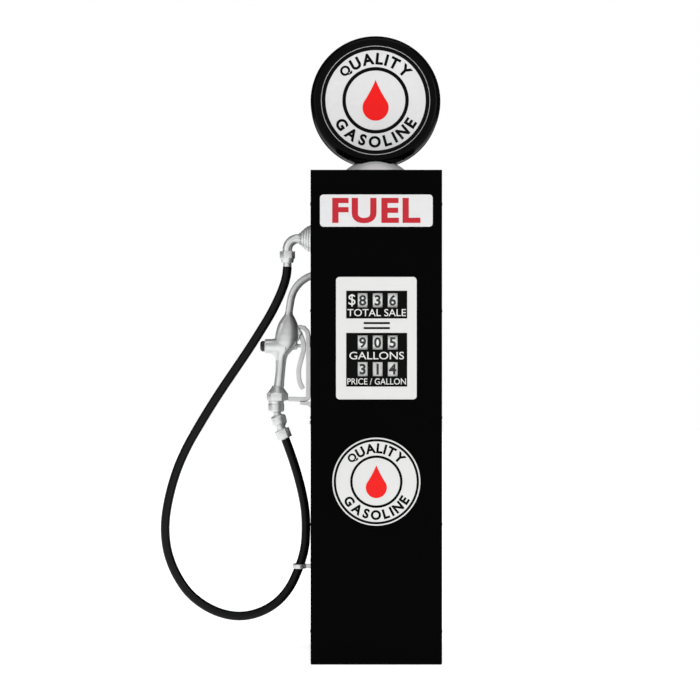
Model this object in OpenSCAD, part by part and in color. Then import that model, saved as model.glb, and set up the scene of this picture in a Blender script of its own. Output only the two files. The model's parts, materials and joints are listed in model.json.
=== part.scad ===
// Full-size dial-face gas pump: sheet-steel cabinet, lit globe, number wheels,
// motor, pump, meter, hose and a hanging nozzle. Millimetres, +Z up, front at -Y.
// The origin is the middle of the cabinet's underside, on the floor.

/* [Cabinet] */
// Width of the cabinet
cab_w = 400; // [380:5:520]
// Depth of the cabinet
cab_d = 400; // [390:5:520]
// Height of the cabinet
cab_h = 1505; // [1480:5:1850]
// Thickness of the panel sheet
sheet = 2; // [1:0.5:3]
// Thickness of the top plate
top_t = 3; // [2:0.5:6]
// Height of the base frame
base_h = 60; // [50:5:90]
// Thickness of the base frame's steel
base_t = 4; // [3:0.5:8]
// Width of the base frame's flanges
base_flange = 50; // [40:5:60]
// Radius of the anchor bolt holes
anchor_r = 7; // [5:0.5:9]
// Width of a corner post's leg
post_w = 30; // [25:1:40]
// Thickness of a corner post
post_t = 3; // [2:0.5:5]
// Gap between the floor and the panels
floor_gap = 2; // [1:1:10]

/* [Sign and dial] */
// Width of the sign lens
sign_w = 343; // [250:1:360]
// Height of the sign lens
sign_h = 98; // [80:1:120]
// From the cabinet's top down to the middle of the sign
sign_drop = 124.5; // [110:0.5:140]
// Width of the dial face
dial_w = 245; // [230:1:270]
// Height of the dial face
dial_h = 372; // [350:1:400]
// From the cabinet's top down to the middle of the dial
dial_drop = 512; // [480:1:540]
// Corner radius of the sign and the dial
face_corner = 11; // [6:1:20]
// How far the sign, dial and medallion stand proud
face_t = 4; // [3:0.5:6]
// How far each face laps over the edge of its opening
face_lap = 10; // [6:1:14]
// Width of a number window
window_w = 29.5; // [24:0.5:31]
// Height of a number window
window_h = 43; // [36:0.5:46]
// Distance between neighbouring windows
window_pitch = 45.6; // [42:0.2:48]
// Sideways offset of the windows from the middle
window_shift = 4; // [0:0.5:6]
// Diameter of the medallion
medal_d = 268; // [220:1:300]
// From the cabinet's top down to the middle of the medallion
medal_drop = 948; // [900:1:1000]

/* [Register] */
// Radius of a number wheel
wheel_r = 63; // [55:0.5:63.5]
// Width of a number wheel
wheel_w = 34; // [30:0.5:36]
// Radius of the wheel shafts
wheel_shaft_r = 5; // [4:0.5:7]
// Thickness of a number wheel's rim and web
wheel_t = 3; // [2:0.5:4]
// Thickness of the dial glass
glass_t = 2; // [1.5:0.5:3]

/* [Globe] */
// Outer radius of the globe body
globe_r = 204; // [190:1:220]
// Half the thickness of the globe body
globe_half = 60; // [50:1:70]
// Radius of the globe lenses
lens_r = 171.2; // [160:0.2:176]
// Wall of the globe body
globe_wall = 4; // [3:0.5:6]
// From the cabinet's top up to the middle of the globe
globe_rise = 233; // [228:1:240]
// Radius of the holder's dome
dome_r = 146; // [140:1:160]
// Height of the dome's crown above the cabinet
dome_rise = 53.8; // [50:0.2:58]

/* [Pump works] */
// Radius of the motor's housing
motor_r = 72; // [60:1:75]
// Length of the motor's housing
motor_l = 150; // [130:1:180]
// Radius of the motor shaft
motor_shaft_r = 9.5; // [8:0.5:12]
// Radius of the motor pulley
motor_pulley_r = 36; // [30:1:45]
// Radius of the pump's housing
pump_r = 70; // [60:1:72]
// Length of the pump's housing
pump_l = 90; // [80:1:110]
// Radius of the pump shaft
pump_shaft_r = 10; // [8:0.5:12]
// Radius of the pump pulley
pump_pulley_r = 60; // [50:1:65]
// Outer radius of the suction pipe
suction_r = 24; // [22:0.5:26]
// Wall of the pipes
pipe_t = 3; // [2:0.5:4]
// Outer radius of the discharge pipe
discharge_r = 17; // [14:0.5:18]
// Radius of the air separator
separator_r = 65; // [55:1:70]
// Height of the air separator
separator_h = 190; // [150:5:200]
// Radius of the meter
meter_r = 85; // [70:1:90]
// Height of the meter's body
meter_h = 150; // [120:5:160]

/* [Outlet and nozzle] */
// From the cabinet's top down to the outlet's axis
outlet_drop = 200; // [180:1:220]
// Radius of the outlet bell at the wall
bell_r = 42; // [36:0.5:50]
// Outer radius of the elbow's pipe
elbow_r = 15; // [12:0.5:15.5]
// Radius of the elbow's bend
elbow_bend = 34; // [30:1:40]
// Radius of the hose
hose_r = 14; // [10:0.5:14]
// Outer radius of the spout
spout_r = 12; // [9:0.5:13]
// Radius of the spout's bend
spout_bend = 100; // [95:1:106]
// Greatest radius of the nozzle's body
grip_r = 38; // [32:0.5:38]
// Radius of the nozzle's neck
neck_r = 16.5; // [13:0.5:18]
// Radius of the swivel's ball
ball_r = 19; // [16:0.5:20]
// Radius of the lever's pin
pin_r = 3; // [2:0.5:4]
// Width of the lever's strip
lever_w = 13; // [10:0.5:14]

/* [Clearances] */
// Running clearance around a shaft
run_gap = 0.05; // [0.02:0.01:0.1]
// Clearance where curved faces rest or pass
rest_gap = 0.3; // [0.2:0.05:0.5]
// Clearance around a bolt, in radius
bolt_gap = 0.3; // [0.2:0.1:0.6]

/* [Hidden] */
$fn = 64;

// Cabinet planes
hw = cab_w / 2;
hd = cab_d / 2;
inner_w = hw - sheet;
inner_d = hd - sheet;
panel_top = cab_h - top_t;
anchor_x = hw - 50;
anchor_y = inner_d - base_flange / 2;
screw_r = 2.2;
screw_head_r = 4.5;
screw_head_t = 1.5;
screw_rows = 5;
screw_inset = 100;
post_hole_y = inner_d - post_w / 2;

// Faces on the front
sign_z = cab_h - sign_drop;
dial_z = cab_h - dial_drop;
medal_z = cab_h - medal_drop;
face_y = -hd - face_t;
medal_stud_r = 3;
medal_stud_at = 60;
sign_lamp_r = 13;
sign_box_d = 70;

// Window rows, measured from the middle of the dial
sale_z = dial_z + 115;
gallons_z = dial_z - 13.4;
price_z = dial_z - 94.2;
window_x = [for (i = [-1:1]) window_shift + i * window_pitch];
glass_y = -hd;
wheel_y = glass_y + glass_t + 1.5 + wheel_r;
register_w = dial_w / 2 + 5;
register_y = wheel_y + wheel_r + 48;
register_low = dial_z - 165;
register_high = dial_z + 185;
gearbox_w = 80;
gearbox_h = 80;
gearbox_low = register_low + 10;

// Globe and its holder
globe_z = cab_h + globe_rise;
dome_z = cab_h + dome_rise - dome_r;
neck_hole_r = 40;
lens_y = globe_half - 6;
lens_t = 4;
bezel_round = 24;

// Pump works: everything stands in the plane of the outlet
works_y = -50;
plate_z = base_h;
plate_t = 4;
pump_z = 190;
motor_y = works_y + 158;
motor_z = 160;
pulley_x = 130;
pulley_w = 18;
belt_w = 8;
belt_t = 7;
groove_depth = 10;
boss_t = 25;
suction_low = 15;
separator_z = pump_z + pump_r + 70;
meter_z = separator_z + separator_h + 50;
shelf_z = meter_z - 13;
meter_mid = meter_z + meter_h / 2;
drive_r = 6;
discharge_x = -hw + 40;
discharge_bend = 36;

// Left wall
outlet_z = cab_h - outlet_drop;
wall_x = -hw;
elbow_x = wall_x - 76;
bell_l = 40;
nut_r = 24.5;
nut_top = outlet_z - 39;
ferrule_low = outlet_z - 88;

// Nozzle, in its own plane, measured out from the wall and down from the top
nozzle_y = 40;
pivot = [wall_x - 115, nozzle_y, cab_h - 733];
knuckle = pivot + [14, 0, -60];
hose_end = pivot + [29, 0, -98];
grip = pivot + [36, 0, 233];
neck_top = pivot + [12, 0, 158];
neck_low = pivot + [5, 0, 74];
stem_z = pivot[2] + 198;
hinge = pivot + [76, 0, 239];
spout_foot = pivot + [40, 0, 303];
spout_lean = 9;
spout_rise = 40;
socket_z = pivot[2] + 434;
socket_r = 32;
hook_top = pivot[2] + 20.3;
guard_low = hook_top + 0.7;

// Middle line of the hose: [out from the wall, depth, height]
hose_route = [
  [76, -50, 1217], [79, -50, 1190], [87, -50, 1160], [103, -50, 1120], [128, -50, 1070],
  [158, -50, 1020], [198, -50, 957], [240, -48, 895], [282, -46, 833], [322, -43, 771],
  [360, -40, 708], [395, -37, 645], [425, -34, 575], [447, -30, 500], [460, -26, 425],
  [460, -22, 360], [448, -18, 300], [422, -14, 240], [385, -10, 188], [335, -6, 148],
  [278, -2, 123], [220, 2, 116], [162, 6, 129], [110, 10, 160], [70, 14, 207],
  [40, 18, 272], [24, 22, 330], [20, 26, 390], [23, 30, 450], [34, 34, 510],
  [50, 37, 570], [68, 39, 625], [86, 40, 674]
];
clip_point = hose_route[25];

// ---- shared shapes ----
function arc(c, r, a0, a1, n) =
  [for (i = [0:n]) let (a = a0 + (a1 - a0) * i / n) c + r * [cos(a), sin(a)]];

module span(x, y, z) {
  translate([x[0], y[0], z[0]]) cube([x[1] - x[0], y[1] - y[0], z[1] - z[0]]);
}
module rod_x(x, r) {
  translate([x[0], 0, 0]) rotate([0, 90, 0]) cylinder(h = x[1] - x[0], r = r);
}
module rod_y(y, r) {
  translate([0, y[1], 0]) rotate([90, 0, 0]) cylinder(h = y[1] - y[0], r = r);
}
module rod_z(z, r) {
  translate([0, 0, z[0]]) cylinder(h = z[1] - z[0], r = r);
}
// A lathe-turned shape whose outline is [radius, distance out from the left wall]
module turned_out(outline) {
  rotate([0, -90, 0]) rotate_extrude() polygon(outline);
}
// A flat face with round corners, standing in front of y = back
module rounded_face(w, h, r, front, back) {
  translate([0, back, 0]) rotate([90, 0, 0]) linear_extrude(back - front) {
    square([w - 2 * r, h], center = true);
    square([w, h - 2 * r], center = true);
    for (sx = [-1, 1], sz = [-1, 1]) translate([sx * (w / 2 - r), sz * (h / 2 - r)]) circle(r);
  }
}
module at_window(i, z) {
  translate([window_x[i], 0, z]) children();
}
// Places its child along the line from a to b, with z running from a to b
module along(a, b) {
  d = b - a;
  translate(a) rotate([0, atan2(norm([d[0], d[1]]), d[2]), atan2(d[1], d[0])]) children();
}
// Side screws: rows up each corner post, on the wall at sign s
module at_side_screws(s) {
  for (row = [0:screw_rows - 1], side = [-1, 1])
    translate([s * hw, side * post_hole_y,
      screw_inset + row * (panel_top - 2 * screw_inset) / (screw_rows - 1)]) children();
}
module side_screw_holes(s) {
  at_side_screws(s) rod_x([-2 * post_w / 3, post_w / 3], screw_r + bolt_gap);
}

// ---- cabinet ----
module base_frame() {
  color("#2b2b2d") difference() {
    span([-inner_w, inner_w], [-inner_d, inner_d], [0, base_h]);
    span([-inner_w + base_t, inner_w - base_t], [-inner_d + base_t, inner_d - base_t],
      [base_t, base_h - base_t]);
    span([-inner_w + base_flange, inner_w - base_flange],
      [-inner_d + base_flange, inner_d - base_flange], [-1, base_h + 1]);
    for (sx = [-1, 1], sy = [-1, 1])
      translate([sx * anchor_x, sy * anchor_y, 0]) rod_z([-1, base_t + 1], anchor_r);
  }
}
module corner_posts() {
  color("#2b2b2d") for (sx = [0, 1], sy = [0, 1]) mirror([sx, 0, 0]) mirror([0, sy, 0])
    difference() {
      span([inner_w - post_w, inner_w], [inner_d - post_w, inner_d], [base_h, panel_top]);
      span([inner_w - post_w - 1, inner_w - post_t], [inner_d - post_w - 1, inner_d - post_t],
        [base_h - 1, panel_top + 1]);
      side_screw_holes(1);
    }
}
module top_plate() {
  color("#0b0b0c") difference() {
    span([-hw, hw], [-hd, hd], [panel_top, cab_h]);
    rod_z([panel_top - 1, cab_h + 1], 12);
    at_holder_bolts() rod_z([panel_top - 1, cab_h + 1], holder_bolt_r + bolt_gap);
  }
}
module front_panel() {
  color("#0b0b0c") difference() {
    span([-hw, hw], [-hd, -inner_d], [floor_gap, panel_top]);
    translate([0, 0, sign_z])
      rounded_face(sign_w - 2 * face_lap, sign_h - 2 * face_lap, face_corner, -hd - 1, -inner_d + 1);
    translate([0, 0, dial_z])
      rounded_face(dial_w - 2 * face_lap, dial_h - 2 * face_lap, face_corner, -hd - 1, -inner_d + 1);
    at_medal_studs() rod_y([-hd - 1, -inner_d + 1], medal_stud_r + bolt_gap);
  }
}
module left_panel() {
  color("#0b0b0c") difference() {
    span([-hw, -inner_w], [-inner_d, inner_d], [floor_gap, panel_top]);
    side_screw_holes(-1);
    translate([0, works_y, outlet_z]) rod_x([-hw - 1, -inner_w + 1], discharge_r + rest_gap);
    translate([0, nozzle_y, socket_z]) rod_x([-hw - 1, -inner_w + 1], socket_r);
    at_hook_bolts() rod_x([-hw - 1, -inner_w + 1], hook_bolt_r + bolt_gap);
    at_clip_bolt() rod_x([-hw - 1, -inner_w + 1], hook_bolt_r + bolt_gap);
  }
}
module right_panel() {
  color("#0b0b0c") difference() {
    span([inner_w, hw], [-inner_d, inner_d], [floor_gap, panel_top]);
    side_screw_holes(1);
  }
}
module panel_screws() {
  color("#1a1a1b") for (s = [-1, 1]) at_side_screws(s) mirror([s < 0 ? 1 : 0, 0, 0]) {
    rod_x([0, screw_head_t], screw_head_r);
    rod_x([-sheet - post_t - 4, 0], screw_r);
  }
}
plate_w = inner_w - 33;
plate_d = inner_d - 33;
shelf_y = [-inner_d + 48, inner_d - 78];
module shelves() {
  color("#8f9296") {
    difference() {
      span([-plate_w, plate_w], [-plate_d, plate_d], [plate_z, plate_z + plate_t]);
      translate([0, works_y, 0]) rod_z([plate_z - 1, plate_z + plate_t + 1], suction_r + 1);
      translate([conduit_x, conduit_y, 0])
        rod_z([plate_z - 1, plate_z + plate_t + 1], conduit_r + 1);
    }
    difference() {
      span([-inner_w, inner_w], shelf_y, [shelf_z, shelf_z + post_t]);
      translate([0, works_y, 0]) rod_z([shelf_z - 1, shelf_z + post_t + 1], suction_r + 1);
    }
  }
}

// ---- rear door ----
door_l = -hw + 4;
door_r = hw - 12;
door_low = 20;
door_high = cab_h - 15;
hinge_x = hw - 7;
hinge_y = hd + 5;
hinge_z = [for (f = [0.1, 0.5, 0.9]) door_low + f * (door_high - door_low)];
knuckle_r = 5;
hinge_pin_r = 2.5;
knuckle_h = 24;
lock_x = -hw + 50;
lock_z = (door_low + door_high) / 2;
lock_r = 7;
door_lip = 12;
lip_x = inner_w - post_w - 3;
vent_rows = 8;

module rear_door() {
  color("#0b0b0c") difference() {
    union() {
      span([door_l, door_r], [inner_d, hd], [door_low, door_high]);
      difference() {
        span([-lip_x, lip_x], [inner_d - door_lip, inner_d], [base_h + 6, panel_top - 20]);
        span([-lip_x + sheet, lip_x - sheet], [inner_d - door_lip - 1, inner_d + 1],
          [base_h + 6 + sheet, panel_top - 20 - sheet]);
      }
      for (z = hinge_z) {
        span([door_r - 10, hinge_x], [hd, hd + 3], [z - knuckle_h / 2, z + knuckle_h / 2]);
        translate([hinge_x, hinge_y, 0]) rod_z([z - knuckle_h / 2, z + knuckle_h / 2], knuckle_r);
      }
    }
    for (z = hinge_z) translate([hinge_x, hinge_y, 0])
      rod_z([z - knuckle_h, z + knuckle_h], hinge_pin_r + run_gap);
    translate([lock_x, 0, lock_z]) rod_y([inner_d - 1, hd + 1], lock_r + run_gap);
    for (row = [0:vent_rows - 1])
      span([-60, 60], [inner_d - 1, hd + 1], [140 + 22 * row, 150 + 22 * row]);
  }
}
module door_hinges() {
  color("#3a3a3c") for (z = hinge_z) {
    translate([hinge_x, hinge_y, 0])
      rod_z([z - knuckle_h * 3 / 2, z + knuckle_h * 3 / 2], hinge_pin_r);
    for (s = [-1, 1]) {
      low = s < 0 ? z - knuckle_h * 3 / 2 : z + knuckle_h / 2 + rest_gap;
      high = s < 0 ? z - knuckle_h / 2 - rest_gap : z + knuckle_h * 3 / 2;
      translate([hinge_x, hinge_y, 0]) rod_z([low, high], knuckle_r);
      span([hinge_x - 3, inner_w], [inner_d, hinge_y], [low, high]);
    }
  }
}
module door_lock() {
  color("#c4c6c8") translate([lock_x, 0, lock_z]) {
    rod_y([inner_d - 12, hd + 14], lock_r);
    rod_y([hd + rest_gap, hd + 5], lock_r + 6);
    span([-8, 8], [hd + 10, hd + 22], [-30, 30]);
    span([-7, 7], [inner_d - 12, inner_d - 8], [-8, 36]);
  }
}

// ---- sign, dial and medallion ----
module sign_lens() {
  color("#e3dde1") translate([0, 0, sign_z])
    rounded_face(sign_w, sign_h, face_corner, face_y, -hd);
}
module sign_box() {
  w = sign_w / 2 - 4;
  h = sign_h / 2 - 4;
  color("#d8dadc") translate([0, 0, sign_z]) {
    difference() {
      span([-w, w], [-inner_d, -inner_d + sign_box_d], [-h, h]);
      span([-w + sheet, w - sheet], [-inner_d - 1, -inner_d + sign_box_d - sheet],
        [-h + sheet, h - sheet]);
    }
    for (s = [-1, 1]) span(s < 0 ? [-w + sheet, -w + 16] : [w - 16, w - sheet],
      [-inner_d + 30, -inner_d + sign_box_d - sheet], [-14, 14]);
  }
}
module sign_lamp() {
  w = sign_w / 2 - 20;
  color("#f4f4ee") translate([0, -inner_d + 48, sign_z]) rod_x([-w, w], sign_lamp_r);
}
module dial_face() {
  color("#ececea") difference() {
    translate([0, 0, dial_z]) rounded_face(dial_w, dial_h, face_corner, face_y, -hd);
    for (i = [0:2], z = [sale_z, gallons_z, price_z]) at_window(i, z)
      span([-window_w / 2, window_w / 2], [face_y - 1, -hd + 1], [-window_h / 2, window_h / 2]);
  }
}
module dial_glass() {
  w = dial_w / 2 - face_lap - rest_gap;
  h = dial_h / 2 - face_lap - rest_gap;
  color("#dfe8ea", 0.4) translate([0, 0, dial_z])
    rounded_face(2 * w, 2 * h, face_corner, glass_y, glass_y + glass_t);
}
module price_cards() {
  low = price_z - window_h / 2 - 4;
  high = price_z + window_h / 2 + 4;
  color("#e6e6e2") {
    for (x = window_x) span([x - wheel_w / 2, x + wheel_w / 2],
      [glass_y + glass_t, glass_y + glass_t + 1], [low, high]);
    span([-register_w, register_w], [glass_y + glass_t + 1, glass_y + glass_t + 4],
      [low, low + 6]);
    span([-register_w, register_w], [glass_y + glass_t + 1, glass_y + glass_t + 4],
      [high - 6, high]);
  }
}
module at_medal_studs() {
  for (a = [90, 210, 330])
    translate([medal_stud_at * cos(a), 0, medal_z + medal_stud_at * sin(a)]) children();
}
module medallion() {
  edge = 2;
  color("#e4e2e0") {
    translate([0, -hd, medal_z]) rotate([90, 0, 0]) rotate_extrude()
      polygon(concat([[0, 0], [medal_d / 2, 0]],
        arc([medal_d / 2 - edge, face_t - edge], edge, 0, 90, 4), [[0, face_t]]));
  }
}

// ---- register ----
module register_frame() {
  color("#9a9c9f") {
    difference() {
      union() {
        for (s = [0, 1]) mirror([s, 0, 0]) {
          span([register_w, register_w + post_t], [-inner_d, register_y],
            [register_low, register_high]);
          span([register_w, register_w + 18], [-inner_d, -inner_d + post_t],
            [register_low, register_high]);
        }
        span([-register_w, register_w], [register_y - post_t, register_y],
          [register_low, register_high]);
      }
      for (z = [sale_z, gallons_z]) translate([0, wheel_y, z])
        rod_x([-register_w - 9, register_w + 9], wheel_shaft_r);
    }
    for (z = [sale_z, gallons_z]) translate([0, wheel_y, z]) {
      rod_x([-register_w - post_t, register_w + post_t], wheel_shaft_r);
      for (k = [0:1]) {
        mid = (window_x[k] + window_x[k + 1]) / 2;
        half = (window_pitch - hub_l) / 2 - rest_gap;
        rod_x([mid - half, mid + half], hub_r);
      }
      rod_x([window_x[2] + hub_l / 2 + rest_gap, window_x[2] + hub_l / 2 + 8], hub_r);
      rod_x([window_x[0] - hub_l / 2 - 8, window_x[0] - hub_l / 2 - rest_gap], hub_r);
    }
  }
}
hub_r = wheel_shaft_r + 4;
hub_l = 30;
module number_wheel(i, z) {
  bore = wheel_shaft_r + run_gap;
  color("#dededa") at_window(i, z) translate([0, wheel_y, 0]) rotate([0, 90, 0])
    difference() {
      union() {
        rotate_extrude($fn = 96) polygon([
          [wheel_r - wheel_t, -wheel_w / 2], [wheel_r, -wheel_w / 2],
          [wheel_r, wheel_w / 2], [wheel_r - wheel_t, wheel_w / 2]
        ]);
        rod_z([-wheel_t / 2, wheel_t / 2], wheel_r - wheel_t);
        rod_z([-hub_l / 2, hub_l / 2], hub_r);
      }
      rod_z([-hub_l, hub_l], bore);
      for (a = [0:72:359]) rotate([0, 0, a]) translate([(wheel_r + hub_r) / 2, 0, 0])
        rod_z([-wheel_t, wheel_t], 11);
    }
}
module sale_wheel_1() { number_wheel(0, sale_z); }
module sale_wheel_2() { number_wheel(1, sale_z); }
module sale_wheel_3() { number_wheel(2, sale_z); }
module gallons_wheel_1() { number_wheel(0, gallons_z); }
module gallons_wheel_2() { number_wheel(1, gallons_z); }
module gallons_wheel_3() { number_wheel(2, gallons_z); }
module register_gearbox() {
  color("#75787c") difference() {
    span([-gearbox_w / 2, gearbox_w / 2], [works_y - 18, register_y - post_t],
      [gearbox_low, gearbox_low + gearbox_h]);
    translate([0, works_y, 0]) rod_z([gearbox_low - 1, gearbox_low + 30], drive_r + run_gap);
  }
}
module drive_shaft() {
  low = meter_z + meter_h + 10;
  color("#b9bcbf") translate([0, works_y, 0]) {
    rod_z([low - 18, gearbox_low + 28], drive_r);
    rod_z([(low + gearbox_low) / 2 - 20, (low + gearbox_low) / 2 + 20], drive_r + 6);
    translate([0, drive_r + 6, (low + gearbox_low) / 2]) rod_y([-2, 5], 3);
  }
}

// ---- globe ----
holder_bolt_r = 4;
holder_bolt_at = 75;
module at_holder_bolts() {
  for (a = [0:90:359]) rotate([0, 0, a]) translate([holder_bolt_at, 0, 0]) children();
}
module globe_holder() {
  color("#c9cbcd") difference() {
    translate([0, 0, dome_z]) sphere(dome_r);
    span([-dome_r - 1, dome_r + 1], [-dome_r - 1, dome_r + 1], [dome_z - dome_r - 1, cab_h]);
    translate([0, 0, globe_z]) rod_y([-globe_half - rest_gap, globe_half + rest_gap],
      globe_r + rest_gap);
    rod_z([cab_h - 1, globe_z], neck_hole_r);
    at_holder_bolts() rod_z([cab_h - 1, cab_h + 14], holder_bolt_r + bolt_gap);
  }
}
module globe_body() {
  face = globe_half;
  r_in = globe_r - bezel_round;
  outer = concat(
    [[lens_r - 5, lens_y - lens_t - 4]], [[lens_r + rest_gap, lens_y - lens_t - 4]],
    [[lens_r + rest_gap, lens_y]], arc([lens_r + rest_gap + 6, lens_y], 6, 180, 90, 5),
    arc([r_in, face - bezel_round], bezel_round, 90, 0, 10));
  inner = concat(
    arc([r_in, face - bezel_round], bezel_round - globe_wall, 0, 90, 10),
    [[lens_r + rest_gap + 4, face - globe_wall]],
    [[lens_r + rest_gap + 4, lens_y - lens_t - 7]], [[lens_r - 5, lens_y - lens_t - 7]]);
  back_inner = [for (i = [len(inner) - 1:-1:0]) [inner[i][0], -inner[i][1]]];
  back_outer = [for (i = [len(outer) - 1:-1:0]) [outer[i][0], -outer[i][1]]];
  color("#0a0a0b") difference() {
    translate([0, 0, globe_z]) rotate([90, 0, 0]) rotate_extrude($fn = 128)
      polygon(concat(outer, back_outer, back_inner, inner));
    rod_z([globe_z - globe_r - 10, globe_z - globe_r + 30], neck_hole_r);
  }
}
module globe_lenses() {
  color("#dfdfdd") for (s = [0, 1]) mirror([0, s, 0])
    translate([0, 0, globe_z]) rotate([90, 0, 0]) translate([0, 0, lens_y - lens_t])
      rotate_extrude($fn = 128) polygon([[0, 0], [lens_r, 0], [lens_r, lens_t], [0, lens_t]]);
}
module globe_lamp() {
  color("#e8e4d8") {
    difference() {
      rod_z([cab_h, cab_h + 70], 22);
      rod_z([cab_h - 1, cab_h + 10], 12);
    }
    rod_z([cab_h + 70, cab_h + 90], 13);
    translate([0, 0, cab_h + 118]) sphere(32);
  }
}

// ---- motor, pump and pipes ----
// A pulley along X with a groove cut to a depth
module pulley(r) {
  mid = pulley_w / 2;
  rotate([0, 90, 0]) rotate_extrude() polygon([
    [0, 0], [r, 0], [r, mid - 7], [r - groove_depth, mid - 5],
    [r - groove_depth, mid + 5], [r, mid + 7], [r, pulley_w], [0, pulley_w]
  ]);
}
module motor_housing() {
  wall = 8;
  color("#4c5660") translate([0, motor_y, motor_z]) difference() {
    union() {
      rod_x([-motor_l / 2, motor_l / 2], motor_r);
      for (a = [30:30:150]) rotate([a - 90, 0, 0])
        span([-motor_l / 2 + 14, motor_l / 2 - 14], [-1.5, 1.5], [motor_r - 2, motor_r + 5]);
      for (s = [-1, 1]) translate([s * (motor_l / 2 - 15), 0, 0])
        span([-8, 8], [-55, 55], [plate_z + plate_t - motor_z, -motor_r * 0.6]);
    }
    rod_x([-motor_l / 2 + wall, motor_l / 2 - wall], motor_r - wall);
    rod_x([-motor_l / 2 + 3, motor_l / 2 + 1], motor_shaft_r + run_gap);
  }
}
module motor_rotor() {
  color("#aeb1b4") translate([0, motor_y, motor_z]) {
    rod_x([-motor_l / 2 + 4, pulley_x + pulley_w + 4], motor_shaft_r);
    rod_x([-motor_l / 2 + 30, motor_l / 2 - 30], motor_r - 16);
    translate([pulley_x, 0, 0]) pulley(motor_pulley_r);
  }
}
module pump_housing() {
  color("#6c6f72") translate([0, works_y, pump_z]) difference() {
    union() {
      rod_x([-pump_l / 2, pump_l / 2], pump_r);
      for (s = [-1, 1]) translate([s * (pump_l / 2 - 6), 0, 0])
        span([-6, 6], [-55, 55], [plate_z + plate_t - pump_z, -pump_r * 0.6]);
      rod_z([-pump_r - boss_t / 2, -pump_r + boss_t], suction_r + 6);
      rod_z([pump_r - boss_t, pump_r + boss_t / 2], suction_r + 6);
    }
    translate([0, 0, 6]) rod_x([-pump_l / 2 + 10, pump_l / 2 - 10], pump_r - 18);
    rod_x([-pump_l / 2 + 3, pump_l / 2 + 1], pump_shaft_r + run_gap);
    rod_z([-pump_r - boss_t, pump_r + boss_t], suction_r - 4);
  }
}
module pump_rotor() {
  drum = pump_r - 26;
  color("#b9bcbf") translate([0, works_y, pump_z]) {
    rod_x([-pump_l / 2 + 4, pulley_x + pulley_w + 4], pump_shaft_r);
    difference() {
      rod_x([-pump_l / 2 + 10 + rest_gap, pump_l / 2 - 10 - rest_gap], drum);
      for (a = [0:90:359]) rotate([a, 0, 0])
        span([-pump_l, pump_l], [-2, 2], [drum - 18, drum + 1]);
    }
    translate([pulley_x, 0, 0]) pulley(pump_pulley_r);
  }
}
// The belt's outline: two round ends and the straight runs that touch both
module belt_loop(extra) {
  a = [works_y, pump_z];
  b = [motor_y, motor_z];
  ra = pump_pulley_r - groove_depth + extra;
  rb = motor_pulley_r - groove_depth + extra;
  d = b - a;
  lean = atan2(d[1], d[0]);
  off = acos((ra - rb) / norm(d));
  translate(a) circle(ra);
  translate(b) circle(rb);
  polygon([
    a + ra * [cos(lean + off), sin(lean + off)], b + rb * [cos(lean + off), sin(lean + off)],
    b + rb * [cos(lean - off), sin(lean - off)], a + ra * [cos(lean - off), sin(lean - off)]
  ]);
}
module drive_belt() {
  color("#161616") translate([pulley_x + (pulley_w - belt_w) / 2, 0, 0])
    rotate([90, 0, 90]) linear_extrude(belt_w) difference() {
      belt_loop(belt_t);
      belt_loop(rest_gap);
    }
}
module pipe_z(z, r) {
  difference() {
    rod_z(z, r);
    rod_z([z[0] - 1, z[1] + 1], r - pipe_t - 1);
  }
}
// The union nut and the seat for the supply pipe are at the foot of the suction pipe
port_depth = 60;
module suction_pipe() {
  color("#55585b") translate([0, works_y, 0]) difference() {
    union() {
      rod_z([suction_low, pump_z - pump_r - boss_t / 2], suction_r);
      translate([0, 0, suction_low]) cylinder(h = 28, r = suction_r + 9, $fn = 6);
    }
    rod_z([suction_low - 1, pump_z], suction_r - pipe_t - 1);
    rod_z([suction_low - 1, suction_low + port_depth], suction_r - pipe_t);
  }
}
module air_separator() {
  color("#7b2a22") translate([0, works_y, 0]) difference() {
    union() {
      rod_z([separator_z, separator_z + separator_h], separator_r);
      for (z = [separator_z, separator_z + separator_h - 10]) rod_z([z, z + 10], separator_r + 8);
    }
    rod_z([separator_z + 10, separator_z + separator_h - 10], separator_r - 5);
    rod_z([separator_z - 1, separator_z + separator_h + 1], suction_r - pipe_t - 1);
  }
}
module meter() {
  flange = 12;
  color("#8d9093") translate([0, works_y, 0]) difference() {
    union() {
      rod_z([meter_z, meter_z + meter_h], meter_r - 12);
      for (z = [meter_z + flange, meter_mid - 6, meter_z + meter_h - 2 * flange])
        rod_z([z, z + flange], meter_r);
      rod_z([meter_z + meter_h, meter_z + meter_h + 10], 22);
      translate([0, 0, meter_mid]) rod_x([-meter_r - 14, 0], discharge_r + 8);
    }
    rod_z([meter_z - 1, meter_z + 40], suction_r - pipe_t - 1);
    translate([0, 0, meter_mid]) rod_x([-meter_r - 15, -20], discharge_r - pipe_t);
    rod_z([meter_z + meter_h - 12, meter_z + meter_h + 11], drive_r + run_gap);
  }
}
// A bend of pipe in the XZ plane; its angles go from +X towards +Z
module pipe_bend(bend, a0, a1, r, wall) {
  rotate([90, 0, 0]) rotate([0, 0, a0]) rotate_extrude(angle = a1 - a0) translate([bend, 0])
    difference() {
      circle(r);
      circle(r - wall);
    }
}
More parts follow.
